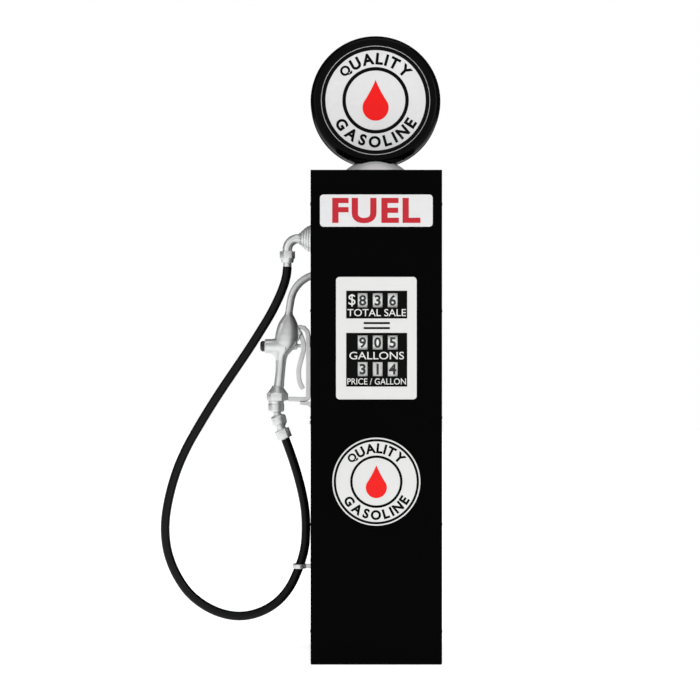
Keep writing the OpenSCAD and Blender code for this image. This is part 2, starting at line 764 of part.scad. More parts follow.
// Pump to separator, separator to meter, and meter to the outlet on the wall
module delivery_pipes() {
  x0 = -meter_r - 14;
  b = discharge_bend;
  color("#55585b") translate([0, works_y, 0]) {
    pipe_z([pump_z + pump_r + boss_t / 2, separator_z], suction_r);
    pipe_z([separator_z + separator_h, meter_z], suction_r);
    translate([0, 0, meter_mid]) difference() {
      rod_x([discharge_x + b, x0], discharge_r);
      rod_x([discharge_x + b - 1, x0 + 1], discharge_r - pipe_t);
    }
    translate([discharge_x + b, 0, meter_mid + b])
      pipe_bend(b, 180, 270, discharge_r, pipe_t);
    translate([discharge_x, 0, 0]) difference() {
      rod_z([meter_mid + b, outlet_z - b], discharge_r);
      rod_z([meter_mid + b - 1, outlet_z - b + 1], discharge_r - pipe_t);
    }
    translate([discharge_x - b, 0, outlet_z - b]) pipe_bend(b, 0, 90, discharge_r, pipe_t);
    translate([0, 0, outlet_z]) difference() {
      rod_x([-hw, discharge_x - b], discharge_r);
      rod_x([-hw - 1, discharge_x - b + 1], discharge_r - pipe_t);
    }
  }
}
conduit_x = hw - 72;
conduit_y = -130;
conduit_r = 13;
box_w = 88;
box_y = [-163, -90];
box_low = 400;
box_high = 510;
box_wall = 4;
module junction_box() {
  color("#5d6266") {
    difference() {
      span([inner_w - box_w, inner_w], box_y, [box_low, box_high]);
      span([inner_w - box_w + box_wall, inner_w - box_wall],
        [box_y[0] + box_wall, box_y[1] - box_wall], [box_low + box_wall, box_high - box_wall]);
    }
    translate([conduit_x, conduit_y, 0]) difference() {
      rod_z([suction_low, box_low], conduit_r);
      rod_z([suction_low - 1, box_low + 1], conduit_r - 2);
    }
  }
}

// ---- outlet on the left wall ----
module outlet_bell() {
  outline = concat(
    [[bell_r, 0]], arc([bell_r - 14, 4], 14, 0, 35, 4),
    [[nut_r - 2, 27]], [[elbow_r + 4, 34]], [[elbow_r + 4, bell_l]],
    [[elbow_r + rest_gap, bell_l]], [[elbow_r + rest_gap, 30]], [[bell_r - 5, 3]],
    [[bell_r - 5, 0]]);
  color("#bfbfbf") translate([wall_x, works_y, outlet_z]) {
    turned_out(outline);
  }
}
module outlet_elbow() {
  run = -elbow_x + wall_x - elbow_bend;
  wall = 4;
  color("#c3c4c5") translate([wall_x, works_y, outlet_z]) {
    difference() {
      rod_x([-run, 0], elbow_r);
      rod_x([-run - 1, 1], elbow_r - wall);
    }
    translate([-run, 0, -elbow_bend]) pipe_bend(elbow_bend, 90, 180, elbow_r, wall);
    translate([-run - elbow_bend, 0, 0]) difference() {
      rod_z([nut_top - outlet_z, -elbow_bend], elbow_r);
      rod_z([nut_top - outlet_z - 1, -elbow_bend + 1], elbow_r - wall);
    }
  }
}
module swivel_nut() {
  h = 22;
  color("#c8c9ca") translate([elbow_x, works_y, 0]) difference() {
    union() {
      rod_z([nut_top - h, nut_top], nut_r);
      translate([0, 0, nut_top - h - 14]) cylinder(h = 14, r1 = nut_r - 5, r2 = nut_r - 1);
      rod_z([ferrule_low, nut_top - h - 14], hose_r - 1.3);
    }
    rod_z([ferrule_low + 6, nut_top + 1], elbow_r - 5);
  }
}

// ---- hose ----
// Points on a smooth curve through the route, with k steps to each stretch
function spline(p, i, t) =
  let (a = p[max(i - 1, 0)], b = p[i], c = p[i + 1], d = p[min(i + 2, len(p) - 1)])
  0.5 * (2 * b + (c - a) * t + (2 * a - 5 * b + 4 * c - d) * t * t
    + (3 * b - a - 3 * c + d) * t * t * t);
function smooth(p, k) =
  concat([for (i = [0:len(p) - 2], j = [0:k - 1]) spline(p, i, j / k)], [p[len(p) - 1]]);
function unit(v) = v / norm(v);
function ring(c, dir, r, n) =
  let (u = unit(cross(dir, [0, 1, 0])), v = cross(u, dir))
  [for (i = [0:n - 1]) c + r * (cos(360 * i / n) * u + sin(360 * i / n) * v)];
module swept(path, ends, r, n) {
  last = len(path) - 1;
  dirs = [for (i = [0:last])
    i == 0 ? ends[0] : i == last ? ends[1] : unit(path[i + 1] - path[i - 1])];
  points = [for (i = [0:last]) each ring(path[i], dirs[i], r, n)];
  sides = [for (i = [0:last - 1], j = [0:n - 1])
    [i * n + j, i * n + (j + 1) % n, (i + 1) * n + (j + 1) % n, (i + 1) * n + j]];
  polyhedron(points, concat(sides, [[for (j = [n - 1:-1:0]) j]],
    [[for (j = [0:n - 1]) last * n + j]]));
}
module hose() {
  path = smooth([for (p = hose_route) [wall_x - p[0], p[1], p[2]]], 2);
  color("#141415") swept(path, [[0, 0, -1], unit(knuckle - hose_end)], hose_r, 12);
}
clip_r = hose_r + 4.4;
module at_clip_bolt() {
  translate([0, clip_point[1], clip_point[2] + 18]) children();
}
module hose_clip() {
  h = 14;
  z = clip_point[2];
  color("#bdbdbd") difference() {
    union() {
      translate([wall_x - clip_point[0], clip_point[1], z]) rod_z([-h / 2, h / 2], clip_r + 3);
      span([wall_x - clip_point[0], wall_x], [clip_point[1] - 5, clip_point[1] + 5],
        [z - h / 2, z + h / 2]);
      span([wall_x - 3, wall_x], [clip_point[1] - 10, clip_point[1] + 10], [z - h / 2, z + 28]);
    }
    translate([wall_x - clip_point[0], clip_point[1], z]) rod_z([-h, h], clip_r);
    at_clip_bolt() rod_x([-hw - 5, -hw + 1], hook_bolt_r + bolt_gap);
  }
}

// ---- nozzle hook, bolts and socket ----
hook_bolt_r = 3;
hook_t = 5;
hook_high = pivot[2] + 195;
hook_low = pivot[2] - 60;
module at_hook_bolts() {
  for (z = [hook_low + 14, hook_high - 14], s = [-1, 1])
    translate([0, nozzle_y + s * 22, z]) children();
}
module nozzle_hook() {
  color("#b4b4b4") difference() {
    union() {
      span([wall_x - hook_t, wall_x], [nozzle_y - 32, nozzle_y + 32], [hook_low, hook_high]);
      translate([0, nozzle_y + 12, 0]) rotate([90, 0, 0]) linear_extrude(24)
        polygon(concat([[wall_x - hook_t, hook_top]], [[wall_x - 39, hook_top]],
          [[wall_x - 39, hook_top - 10]], [[wall_x - 20, hook_top - 12]],
          arc([wall_x - 20, hook_top - 27], 15, 90, 0, 6)));
    }
    at_hook_bolts() rod_x([-hw - 10, -hw + 1], hook_bolt_r + bolt_gap);
  }
}
module wall_bolt(grip_t) {
  rod_x([-grip_t - 3, -grip_t], hook_bolt_r + 2);
  rod_x([-grip_t, sheet + 8], hook_bolt_r);
}
module fixing_bolts() {
  color("#a8abad") {
    at_hook_bolts() translate([-hw, 0, 0]) wall_bolt(hook_t);
    at_clip_bolt() translate([-hw, 0, 0]) wall_bolt(3);
    at_holder_bolts() {
      rod_z([panel_top - 6, panel_top], holder_bolt_r + 3);
      rod_z([panel_top, cab_h + 12], holder_bolt_r);
    }
    at_medal_studs() {
      rod_y([-hd, -inner_d + 10], medal_stud_r);
      rod_y([-inner_d, -inner_d + 4], medal_stud_r + 3);
    }
  }
}
module spout_socket() {
  depth = 90;
  color("#3a3b3d") translate([0, nozzle_y, socket_z]) difference() {
    union() {
      rod_x([-inner_w, -inner_w + depth], socket_r + 3);
      rod_x([-inner_w, -inner_w + 3], socket_r + 12);
    }
    rod_x([-inner_w - 1, -inner_w + depth - 3], socket_r);
  }
}

// ---- nozzle ----
// The spout leans off the vertical, then bends over until it lies level in its socket
module spout() {
  wall = 2;
  foot_gap = spout_r * tan(spout_lean);
  color("#b3b4b5") translate(spout_foot) rotate([0, spout_lean, 0]) {
    difference() {
      rod_z([foot_gap, spout_rise], spout_r);
      rod_z([foot_gap - 1, spout_rise + 1], spout_r - wall);
    }
    translate([spout_bend, 0, spout_rise])
      pipe_bend(spout_bend, 90 + spout_lean, 180, spout_r, wall);
  }
}
slot_half = 7;
cheek_t = 8;
module nozzle_body() {
  top = spout_foot[2] - grip[2];
  color("#b9babb") difference() {
    union() {
      translate(grip) rotate_extrude() polygon(concat(
        [[0, top]], [[spout_r + 2, top]],
        arc([grip_r - 55, 18], 55, 38, 0, 5), [[grip_r, -20]],
        [[grip_r - 6, -42]], [[0, -52]]));
      hull() {
        translate(grip + [-4, 0, -38]) sphere(grip_r - 12, $fn = 32);
        translate(neck_top) sphere(neck_r + 2, $fn = 32);
      }
      along(neck_low, neck_top) cylinder(h = norm(neck_top - neck_low), r = neck_r);
      translate([grip[0], nozzle_y, stem_z]) {
        rod_x([-74, 0], 22);
        rod_x([0, grip_r - 4.5], 13);
      }
      for (s = [-1, 1]) translate([hinge[0], nozzle_y + s * (slot_half + cheek_t / 2), hinge[2]]) {
        rod_y([-cheek_t / 2, cheek_t / 2], pin_r + 6);
        span([-22, 0], [-cheek_t / 2, cheek_t / 2], [-9, 9]);
      }
    }
    translate([hinge[0], nozzle_y, hinge[2]]) {
      rod_y([-slot_half, slot_half], 13);
      span([-12, 20], [-slot_half, slot_half], [-48, 13]);
      rod_y([-30, 30], pin_r + run_gap);
    }
    translate([grip[0], nozzle_y, stem_z]) rod_x([-20, grip_r + 3], stem_r + run_gap);
  }
}
stem_r = 6;
stem_end = hinge[0] + 2.5;
module valve_stem() {
  color("#d0d1d2") translate([0, nozzle_y, stem_z])
    rod_x([grip[0] - 8, stem_end], stem_r);
}
module stem_cap() {
  color("#101011") translate([grip[0] - 74, nozzle_y, stem_z]) rotate([0, -90, 0])
    rotate_extrude() polygon(concat([[0, 0]], [[17, 0]], [[17, 6]],
      arc([11, 6], 6, 0, 90, 5), [[0, 12]]));
}
// Middle line of the lever, from its pin down to its finger end
lever_line = [for (p = [[0, 0], [10, -29], [11, -54], [3, -86], [-4, -118], [-2, -153],
  [9, -178]]) [hinge[0] + p[0], hinge[2] + p[1]]];
// A strip of even width along a line of flat points
function normal_at(p, i) =
  let (d = p[min(i + 1, len(p) - 1)] - p[max(i - 1, 0)]) [-d[1], d[0]] / norm(d);
function strip(p, w) = concat(
  [for (i = [0:len(p) - 1]) p[i] + normal_at(p, i) * w / 2],
  [for (i = [len(p) - 1:-1:0]) p[i] - normal_at(p, i) * w / 2]);
module flat_piece(outline, half) {
  translate([0, nozzle_y + half, 0]) rotate([90, 0, 0]) linear_extrude(2 * half)
    polygon(outline);
}
module lever() {
  color("#b0b1b2") difference() {
    union() {
      flat_piece(strip(smooth(lever_line, 4), lever_w), slot_half - 1);
      translate([hinge[0], nozzle_y, hinge[2]]) rod_y([1 - slot_half, slot_half - 1], pin_r + 5);
    }
    translate([hinge[0], nozzle_y, hinge[2]]) rod_y([-slot_half, slot_half], pin_r + run_gap);
  }
}
module lever_pin() {
  color("#d6d7d8") translate([hinge[0], nozzle_y, hinge[2]]) {
    rod_y([-slot_half - cheek_t - 2, slot_half + cheek_t], pin_r);
    rod_y([-slot_half - cheek_t - 3, -slot_half - cheek_t], pin_r + 1.5);
  }
}
module guard() {
  out = wall_x - hook_t - 0.7;
  t = 13;
  color("#a9aaab") flat_piece(concat(
    [[grip[0] + grip_r, hinge[2] + 15]], [[grip[0] + grip_r, hinge[2] + 26]],
    arc([out - 22, hinge[2] + 4], 22, 60, 0, 6),
    arc([out - 8, guard_low + 8], 8, 0, -90, 4),
    [[pivot[0] + collar_shift + collar_r, guard_low + 2]],
    [[pivot[0] + collar_shift + collar_r, guard_low + 16]],
    arc([out - t - 6, guard_low + 20], 6, -90, 0, 3),
    arc([out - t - 10, hinge[2] + 1], 10, 0, 60, 4)), slot_half);
}
collar_low = pivot[2] + 24;
collar_r = 34.5;
collar_shift = 4;
module collar_nut() {
  h = 40;
  color("#bcbdbe") translate([pivot[0] + collar_shift, nozzle_y, collar_low]) difference() {
    rotate_extrude() polygon([
      [0, 0], [26, 0], [collar_r - 2.5, 3], [collar_r, 8], [collar_r, 20], [collar_r - 4.5, 30],
      [neck_r + 2, h + 8], [0, h + 8]
    ]);
    rod_z([26, h + 9], 0.1 + neck_r);
  }
}
cup_r = 25.5;
module swivel_socket() {
  color("#b7b8b9") translate(pivot) difference() {
    rod_z([-11, collar_low - pivot[2]], cup_r);
    sphere(ball_r + rest_gap);
    translate([0, 0, -12]) cylinder(h = 13, r1 = 20, r2 = 12);
  }
}
knuckle_seat_r = 11;
module swivel_ball() {
  l = norm(knuckle - pivot);
  color("#c2c3c4") {
    translate(pivot) sphere(ball_r);
    difference() {
      along(pivot, knuckle) {
        rod_z([0, 24], 9);
        rod_z([22, 27], 15);
        rod_z([26, l - 6], 23);
        rod_z([l - 6, l], 17);
      }
      translate(knuckle) sphere(knuckle_seat_r + rest_gap);
    }
  }
}
module hose_nut() {
  l = norm(hose_end - knuckle);
  color("#c6c7c8") along(hose_end, knuckle) difference() {
    union() {
      rod_z([0, l - 9], 24);
      rod_z([l - 9, l - 4.5], 15);
      translate([0, 0, l]) sphere(knuckle_seat_r);
    }
    rod_z([4, l + 20], 6);
  }
}

base_frame();
corner_posts();
top_plate();
front_panel();
left_panel();
right_panel();
panel_screws();
shelves();
rear_door();
door_hinges();
door_lock();
sign_lens();
sign_box();
sign_lamp();
dial_face();
dial_glass();
price_cards();
medallion();
register_frame();
sale_wheel_1();
sale_wheel_2();
sale_wheel_3();
gallons_wheel_1();
gallons_wheel_2();
gallons_wheel_3();
register_gearbox();
drive_shaft();
globe_holder();
globe_body();
globe_lenses();
globe_lamp();
motor_housing();
motor_rotor();
drive_belt();
pump_housing();
pump_rotor();
suction_pipe();
air_separator();
meter();
delivery_pipes();
junction_box();
outlet_bell();
outlet_elbow();
swivel_nut();
hose();
hose_clip();
nozzle_hook();
fixing_bolts();
spout_socket();
nozzle_body();
spout();
lever();
lever_pin();
guard();
stem_cap();
valve_stem();
collar_nut();
swivel_socket();
swivel_ball();
hose_nut();
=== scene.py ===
import json
from math import copysign, cos, pi, radians, sin, tau

import bmesh
import bpy
from mathutils import Matrix, Vector


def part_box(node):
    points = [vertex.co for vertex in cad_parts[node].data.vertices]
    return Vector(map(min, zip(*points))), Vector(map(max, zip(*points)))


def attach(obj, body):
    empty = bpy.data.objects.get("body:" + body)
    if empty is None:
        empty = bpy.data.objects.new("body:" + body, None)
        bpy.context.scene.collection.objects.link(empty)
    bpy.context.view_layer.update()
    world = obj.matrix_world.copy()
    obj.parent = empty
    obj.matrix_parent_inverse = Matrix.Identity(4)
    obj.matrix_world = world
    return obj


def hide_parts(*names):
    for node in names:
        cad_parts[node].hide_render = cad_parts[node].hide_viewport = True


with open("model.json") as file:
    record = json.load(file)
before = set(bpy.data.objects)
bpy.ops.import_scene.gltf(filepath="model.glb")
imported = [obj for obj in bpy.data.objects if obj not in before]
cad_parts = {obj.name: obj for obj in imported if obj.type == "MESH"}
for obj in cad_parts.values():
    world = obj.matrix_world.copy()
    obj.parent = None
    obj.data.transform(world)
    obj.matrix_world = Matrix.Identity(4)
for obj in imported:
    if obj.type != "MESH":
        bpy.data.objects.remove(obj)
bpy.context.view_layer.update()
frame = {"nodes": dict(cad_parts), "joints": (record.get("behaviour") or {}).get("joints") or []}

nodes = frame["nodes"]
mm = 0.001
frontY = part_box("front_panel")[0].y
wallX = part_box("left_panel")[0].x  # the wall that carries the outlet, the clip and the hook
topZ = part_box("top_plate")[1].z
softAngle = radians(40)  # edges sharper than this get a bevel


def toLinear(hexColour):
    channels = [int(hexColour[i:i + 2], 16) / 255 for i in (1, 3, 5)]
    linear = [c / 12.92 if c <= 0.04045 else ((c + 0.055) / 1.055) ** 2.4 for c in channels]
    return (*linear, 1)


def addNode(tree, kind, inputs=None, **settings):
    node = tree.nodes.new(kind)
    for name, value in settings.items():
        setattr(node, name, value)
    for name, value in (inputs or {}).items():
        if isinstance(value, bpy.types.NodeSocket):
            tree.links.new(value, node.inputs[name])
        else:
            node.inputs[name].default_value = value
    return node


def perMetre(sizeMm):
    return 1000 / sizeMm


def makeMaterial(name, look):
    # colour drifts between two tints, roughness drifts with it, and a fine grain gives the bump
    material = bpy.data.materials.new(name)
    material.use_nodes = True
    tree = material.node_tree
    tree.nodes.clear()
    place = addNode(tree, "ShaderNodeTexCoord").outputs["Object"]
    stretch = look.get("stretch", (1, 1, 1))
    place = addNode(tree, "ShaderNodeMapping", {"Vector": place, "Scale": stretch}).outputs[0]
    drift = addNode(tree, "ShaderNodeTexNoise", {
        "Vector": place, "Scale": perMetre(look["driftMm"]), "Detail": 4.0})
    # a colour Mix has its two colours at sockets 6 and 7
    tint = addNode(tree, "ShaderNodeMix", {
        0: drift.outputs["Fac"], 6: toLinear(look["colour"]), 7: toLinear(look["tint"])},
        data_type="RGBA")
    rough = addNode(tree, "ShaderNodeMapRange", {
        "Value": drift.outputs["Fac"], "From Min": 0.3, "From Max": 0.7,
        "To Min": look["roughness"][0], "To Max": look["roughness"][1]})
    grain = addNode(tree, "ShaderNodeTexNoise", {
        "Vector": place, "Scale": perMetre(look["grainMm"]), "Detail": 3.0})
    bump = addNode(tree, "ShaderNodeBump", {
        "Height": grain.outputs["Fac"], "Strength": look["bump"], "Distance": look["depthMm"] * mm})
    shader = addNode(tree, "ShaderNodeBsdfPrincipled", {
        "Base Color": tint.outputs[2], "Roughness": rough.outputs[0], "Normal": bump.outputs[0],
        "Metallic": look.get("metallic", 0.0), "Specular IOR Level": look.get("specular", 0.5),
        "Transmission Weight": look.get("clear", 0.0), "Alpha": look.get("alpha", 1.0)})
    addNode(tree, "ShaderNodeOutputMaterial", {"Surface": shader.outputs[0]})
    return material


looks = {
    # stove enamel on pressed sheet: near black, an even gloss with faint orange peel
    "stoveEnamel": dict(colour="#040404", tint="#060607", roughness=(0.3, 0.38), driftMm=160,
                        grainMm=5, bump=0.06, depthMm=0.2, specular=0.008),
    # primed rolled steel: flat charcoal with a dusty, uneven sheen
    "primedSteel": dict(colour="#2c2c2e", tint="#3a3a3b", roughness=(0.5, 0.7), driftMm=40,
                        grainMm=2, bump=0.2, depthMm=0.2),
    # opal acrylic, moulded: milky white with a soft, even gloss
    "opalAcrylic": dict(colour="#dadada", tint="#d4d3d4", roughness=(0.22, 0.3), driftMm=90,
                        grainMm=8, bump=0.03, depthMm=0.2, specular=0.4),
    # white face enamel, screen printed on a flat plate
    "faceWhite": dict(colour="#dadad9", tint="#d4d4d3", roughness=(0.3, 0.38), driftMm=70,
                      grainMm=4, bump=0.05, depthMm=0.1),
    # screen ink, black: a thin dense film, a little duller than the plate around it
    "blackInk": dict(colour="#040404", tint="#070707", roughness=(0.4, 0.5), driftMm=30,
                     grainMm=1.5, bump=0.08, depthMm=0.05, specular=0.05),
    # screen ink, red: strong and even, with a slightly darker drift
    "redInk": dict(colour="#b91c2a", tint="#ae1826", roughness=(0.4, 0.5), driftMm=30,
                   grainMm=1.5, bump=0.08, depthMm=0.05, specular=0.3),
    # screen ink, scarlet: a warmer, brighter film for the drop
    "scarletInk": dict(colour="#ea0200", tint="#dc0200", roughness=(0.4, 0.5), driftMm=30,
                       grainMm=1.5, bump=0.08, depthMm=0.05, specular=0.3),
    # screen ink, white: the captions
    "whiteInk": dict(colour="#dcdcda", tint="#d4d4d2", roughness=(0.4, 0.5), driftMm=30,
                     grainMm=1.5, bump=0.08, depthMm=0.05),
    # dark grey ink of the wheel figures
    "figureInk": dict(colour="#161617", tint="#1f1f20", roughness=(0.5, 0.6), driftMm=20,
                      grainMm=1.5, bump=0.08, depthMm=0.05),
    # globe body, blow-moulded plastic: wet black gloss with slow waves from the mould
    "mouldedBlack": dict(colour="#040404", tint="#060606", roughness=(0.16, 0.22), driftMm=120,
                         grainMm=60, bump=0.1, depthMm=1.0, specular=0.05),
    # cast aluminium, bead blasted and lacquered: soft silver with a fine sandy skin
    "castAlloy": dict(colour="#e0e1e1", tint="#d0d1d1", roughness=(0.34, 0.46), driftMm=26,
                      grainMm=1.6, bump=0.16, depthMm=0.2, metallic=0.75),
    # turned alloy: brighter, with faint tool marks
    "turnedAlloy": dict(colour="#e8e9e9", tint="#dcdddd", roughness=(0.4, 0.48), driftMm=18,
                        grainMm=1.6, bump=0.02, depthMm=0.05, metallic=0.6),
    # spun alloy of the globe holder: satin, pale
    "spunAlloy": dict(colour="#dcdddd", tint="#cfd0d0", roughness=(0.3, 0.38), driftMm=50,
                      grainMm=3, bump=0.06, depthMm=0.1, metallic=0.5, stretch=(1, 1, 6)),
    # hose cover, extruded synthetic rubber: black with a low sheen and a faint cloth print
    "hoseRubber": dict(colour="#070808", tint="#0e0f0f", roughness=(0.3, 0.42), driftMm=35,
                       grainMm=2.2, bump=0.25, depthMm=0.25, specular=0.12),
    # moulded phenolic: the cap, near black and smooth
    "capBlack": dict(colour="#060606", tint="#0b0b0c", roughness=(0.3, 0.4), driftMm=12,
                     grainMm=1.5, bump=0.1, depthMm=0.1),
    # float glass: the dial window, almost clear
    "dialGlass": dict(colour="#f4fafa", tint="#eef6f6", roughness=(0.02, 0.04), driftMm=80,
                      grainMm=60, bump=0.02, depthMm=0.1, clear=1.0, alpha=0.12),
    # number wheels, moulded and painted: warm pale grey, matt
    "wheelIvory": dict(colour="#f4f4f2", tint="#ebebe9", roughness=(0.5, 0.6), driftMm=25,
                       grainMm=1.5, bump=0.1, depthMm=0.1),
    # machinery paint, brushed on
    "greyPaint": dict(colour="#4e5a64", tint="#44505a", roughness=(0.4, 0.55), driftMm=30,
                      grainMm=3, bump=0.25, depthMm=0.3),
    "redOxide": dict(colour="#7a2c22", tint="#69241c", roughness=(0.45, 0.6), driftMm=35,
                     grainMm=3, bump=0.25, depthMm=0.3),
    # black pipe: mill scale, mottled
    "millSteel": dict(colour="#5b5e61", tint="#47494b", roughness=(0.4, 0.6), driftMm=22,
                      grainMm=2, bump=0.25, depthMm=0.2, metallic=0.8, stretch=(1, 1, 0.3)),
    # zinc plate: cool grey with a broken, crystalline sheen
    "zincPlate": dict(colour="#a9adb0", tint="#979b9f", roughness=(0.3, 0.45), driftMm=12,
                      grainMm=2, bump=0.12, depthMm=0.1, metallic=0.9),
    # machined grey iron
    "greyIron": dict(colour="#5f6163", tint="#525456", roughness=(0.4, 0.55), driftMm=16,
                     grainMm=1.4, bump=0.35, depthMm=0.3, metallic=0.75),
    # opal lamp glass, unlit
    "lampOpal": dict(colour="#f3f1ea", tint="#ebe9e2", roughness=(0.15, 0.2), driftMm=40,
                     grainMm=20, bump=0.03, depthMm=0.1),
}
materials = {name: makeMaterial(name, look) for name, look in looks.items()}
print("materials:", len(materials))


def linkPiece(name, mesh, body, material, smoothDeg=32):
    mesh.shade_smooth()
    mesh.set_sharp_from_angle(angle=radians(smoothDeg))
    piece = bpy.data.objects.new(name, mesh)
    bpy.context.scene.collection.objects.link(piece)
    mesh.materials.clear()
    mesh.materials.append(materials[material])
    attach(piece, body)
    return piece


def addPiece(name, bm, body, material, smoothDeg=32, bevelMm=0):
    bmesh.ops.remove_doubles(bm, verts=bm.verts, dist=1e-6)
    bmesh.ops.recalc_face_normals(bm, faces=bm.faces)
    mesh = bpy.data.meshes.new(name)
    bm.to_mesh(mesh)
    bm.free()
    piece = linkPiece(name, mesh, body, material, smoothDeg)
    if bevelMm:
        edge = piece.modifiers.new("softEdge", "BEVEL")
        edge.width = bevelMm * mm
        edge.segments = 3
        edge.limit_method = "ANGLE"
        edge.angle_limit = softAngle
    return piece


def joined(*parts):
    whole = bmesh.new()
    for part in parts:
        mesh = bpy.data.meshes.new("part")
        part.to_mesh(mesh)
        part.free()
        whole.from_mesh(mesh)
        bpy.data.meshes.remove(mesh)
    return whole


def towards(start, end):
    # a matrix that puts local Z on the line from start to end
    start, end = Vector(start), Vector(end)
    turn = (end - start).to_track_quat("Z", "Y").to_matrix().to_4x4()
    return Matrix.Translation(start) @ turn


def turned(outline, matrix, steps=64):
    # a lathe-turned solid: outline is [radius, height], in metres
    bm = bmesh.new()
    verts = [bm.verts.new((r, 0, h)) for r, h in outline]
    edges = [bm.edges.new(pair) for pair in zip(verts, verts[1:])]
    bmesh.ops.spin(bm, geom=verts + edges, cent=(0, 0, 0), axis=(0, 0, 1), angle=tau,
                   steps=steps, use_merge=True)
    bmesh.ops.remove_doubles(bm, verts=bm.verts, dist=1e-6)
    bmesh.ops.recalc_face_normals(bm, faces=bm.faces)
    bmesh.ops.transform(bm, matrix=matrix, verts=bm.verts)
    return bm


def roundedOutline(corners, steps=5):
    # corners are (x, y, radius); each is rounded by an arc that touches both sides
    points = []
    count = len(corners)
    for i, (x, y, radius) in enumerate(corners):
        here = Vector((x, y))
        before = Vector(corners[i - 1][:2]) - here
        after = Vector(corners[(i + 1) % count][:2]) - here
        if radius <= 0:
            points.append(here)
            continue
        before.normalize()
        after.normalize()
        half = before.angle(after) / 2
        reach = radius / max(0.05, sin(half) / cos(half))
        start = here + before * reach
        end = here + after * reach
        middle = here + (before + after).normalized() * (radius / sin(half))
        a0 = start - middle
        turn = a0.angle_signed(end - middle)
        for k in range(steps + 1):
            a = -turn * k / steps
            points.append(middle + Vector((a0.x * cos(a) - a0.y * sin(a),
                                           a0.x * sin(a) + a0.y * cos(a))))
    return points


def profile(corners, steps=5):
    # an open lathe outline with rounded corners, in metres from millimetres
    first, last = corners[0], corners[-1]
    inner = roundedOutline([(first[0], first[1], 0), *corners[1:-1], (last[0], last[1], 0)], steps)
    return [(p.x * mm, p.y * mm) for p in inner]


def plate(points, depth, matrix):
    # a flat outline pushed back into a plate: local XY outline, depth along local Z
    bm = bmesh.new()
    face = bm.faces.new([bm.verts.new((x, y, 0)) for x, y in points])
    pushed = bmesh.ops.extrude_face_region(bm, geom=[face])["geom"]
    bmesh.ops.translate(bm, verts=[g for g in pushed if isinstance(g, bmesh.types.BMVert)],
                        vec=(0, 0, depth))
    bmesh.ops.recalc_face_normals(bm, faces=bm.faces)
    bmesh.ops.transform(bm, matrix=matrix, verts=bm.verts)
    return bm


def onFront(x, y, z):
    # local XY stands upright and faces the front, local +Z comes forward
    return Matrix.Translation((x, y, z)) @ Matrix.Rotation(pi / 2, 4, "X")


def onWall(y, z):
    # local XY stands upright on the left wall, local +Z goes out from it
    return Matrix.Translation((wallX, y, z)) @ Matrix.Rotation(-pi / 2, 4, "Z") \
        @ Matrix.Rotation(pi / 2, 4, "X")


def roundRect(w, h, r):
    return [(p.x, p.y) for p in roundedOutline(
        [(-w / 2, -h / 2, r), (w / 2, -h / 2, r), (w / 2, h / 2, r), (-w / 2, h / 2, r)], 8)]


def smoothPath(points, steps):
    # a Catmull-Rom curve through the points
    points = [Vector(p) for p in points]
    path = []
    for i in range(len(points) - 1):
        a, b = points[max(i - 1, 0)], points[i]
        c, d = points[i + 1], points[min(i + 2, len(points) - 1)]
        for k in range(steps):
            t = k / steps
            path.append(0.5 * (2 * b + (c - a) * t + (2 * a - 5 * b + 4 * c - d) * t * t
                               + (3 * b - a - 3 * c + d) * t ** 3))
    path.append(points[-1])
    return path


def tubeMesh(path, radius, rounds=12):
    curve = bpy.data.curves.new("tube", "CURVE")
    curve.dimensions = "3D"
    curve.bevel_depth = radius
    curve.bevel_resolution = rounds
    curve.use_fill_caps = True
    line = curve.splines.new("POLY")
    line.points.add(len(path) - 1)
    for point, place in zip(line.points, path):
        point.co = (*place, 1)
    holder = bpy.data.objects.new("tube", curve)
    bpy.context.scene.collection.objects.link(holder)
    bpy.context.view_layer.update()
    mesh = bpy.data.meshes.new_from_object(
        holder.evaluated_get(bpy.context.evaluated_depsgraph_get()))
    bpy.data.objects.remove(holder)
    bm = bmesh.new()
    bm.from_mesh(mesh)
    bpy.data.meshes.remove(mesh)
    bmesh.ops.remove_doubles(bm, verts=bm.verts, dist=1e-6)
    bmesh.ops.recalc_face_normals(bm, faces=bm.faces)
    return bm


def ribbon(points, width):
    # the outline of a strip of even width along flat points
    count = len(points)
    normals = []
    for i in range(count):
        d = Vector(points[min(i + 1, count - 1)]) - Vector(points[max(i - 1, 0)])
        normals.append(Vector((-d.y, d.x)).normalized() * width / 2)
    left = [Vector(p) + n for p, n in zip(points, normals)]
    right = [Vector(p) - n for p, n in zip(points, normals)]
    return left + right[::-1]


def widthOf(bm):
    return max(v.co.x for v in bm.verts) - min(v.co.x for v in bm.verts)


def lettering(text, height, depth, weight=0.0, space=1.0):
    # a word as a closed mesh, standing on local XY with its middle at the origin
    curve = bpy.data.curves.new("word", "FONT")
    curve.body = text
    curve.extrude = 0.5
    curve.offset = weight
    curve.space_character = space
    curve.resolution_u = 5
    holder = bpy.data.objects.new("word", curve)
    bpy.context.scene.collection.objects.link(holder)
    bpy.context.view_layer.update()
    mesh = bpy.data.meshes.new_from_object(
        holder.evaluated_get(bpy.context.evaluated_depsgraph_get()))
    bpy.data.objects.remove(holder)
    bm = bmesh.new()
    bm.from_mesh(mesh)
    bpy.data.meshes.remove(mesh)
    xs = [v.co.x for v in bm.verts]
    ys = [v.co.y for v in bm.verts]
    scale = height / (max(ys) - min(ys))
    bmesh.ops.translate(bm, verts=bm.verts,
                        vec=(-(max(xs) + min(xs)) / 2, -(max(ys) + min(ys)) / 2, 0))
    bmesh.ops.scale(bm, verts=bm.verts, vec=(scale, scale, depth))
    return bm


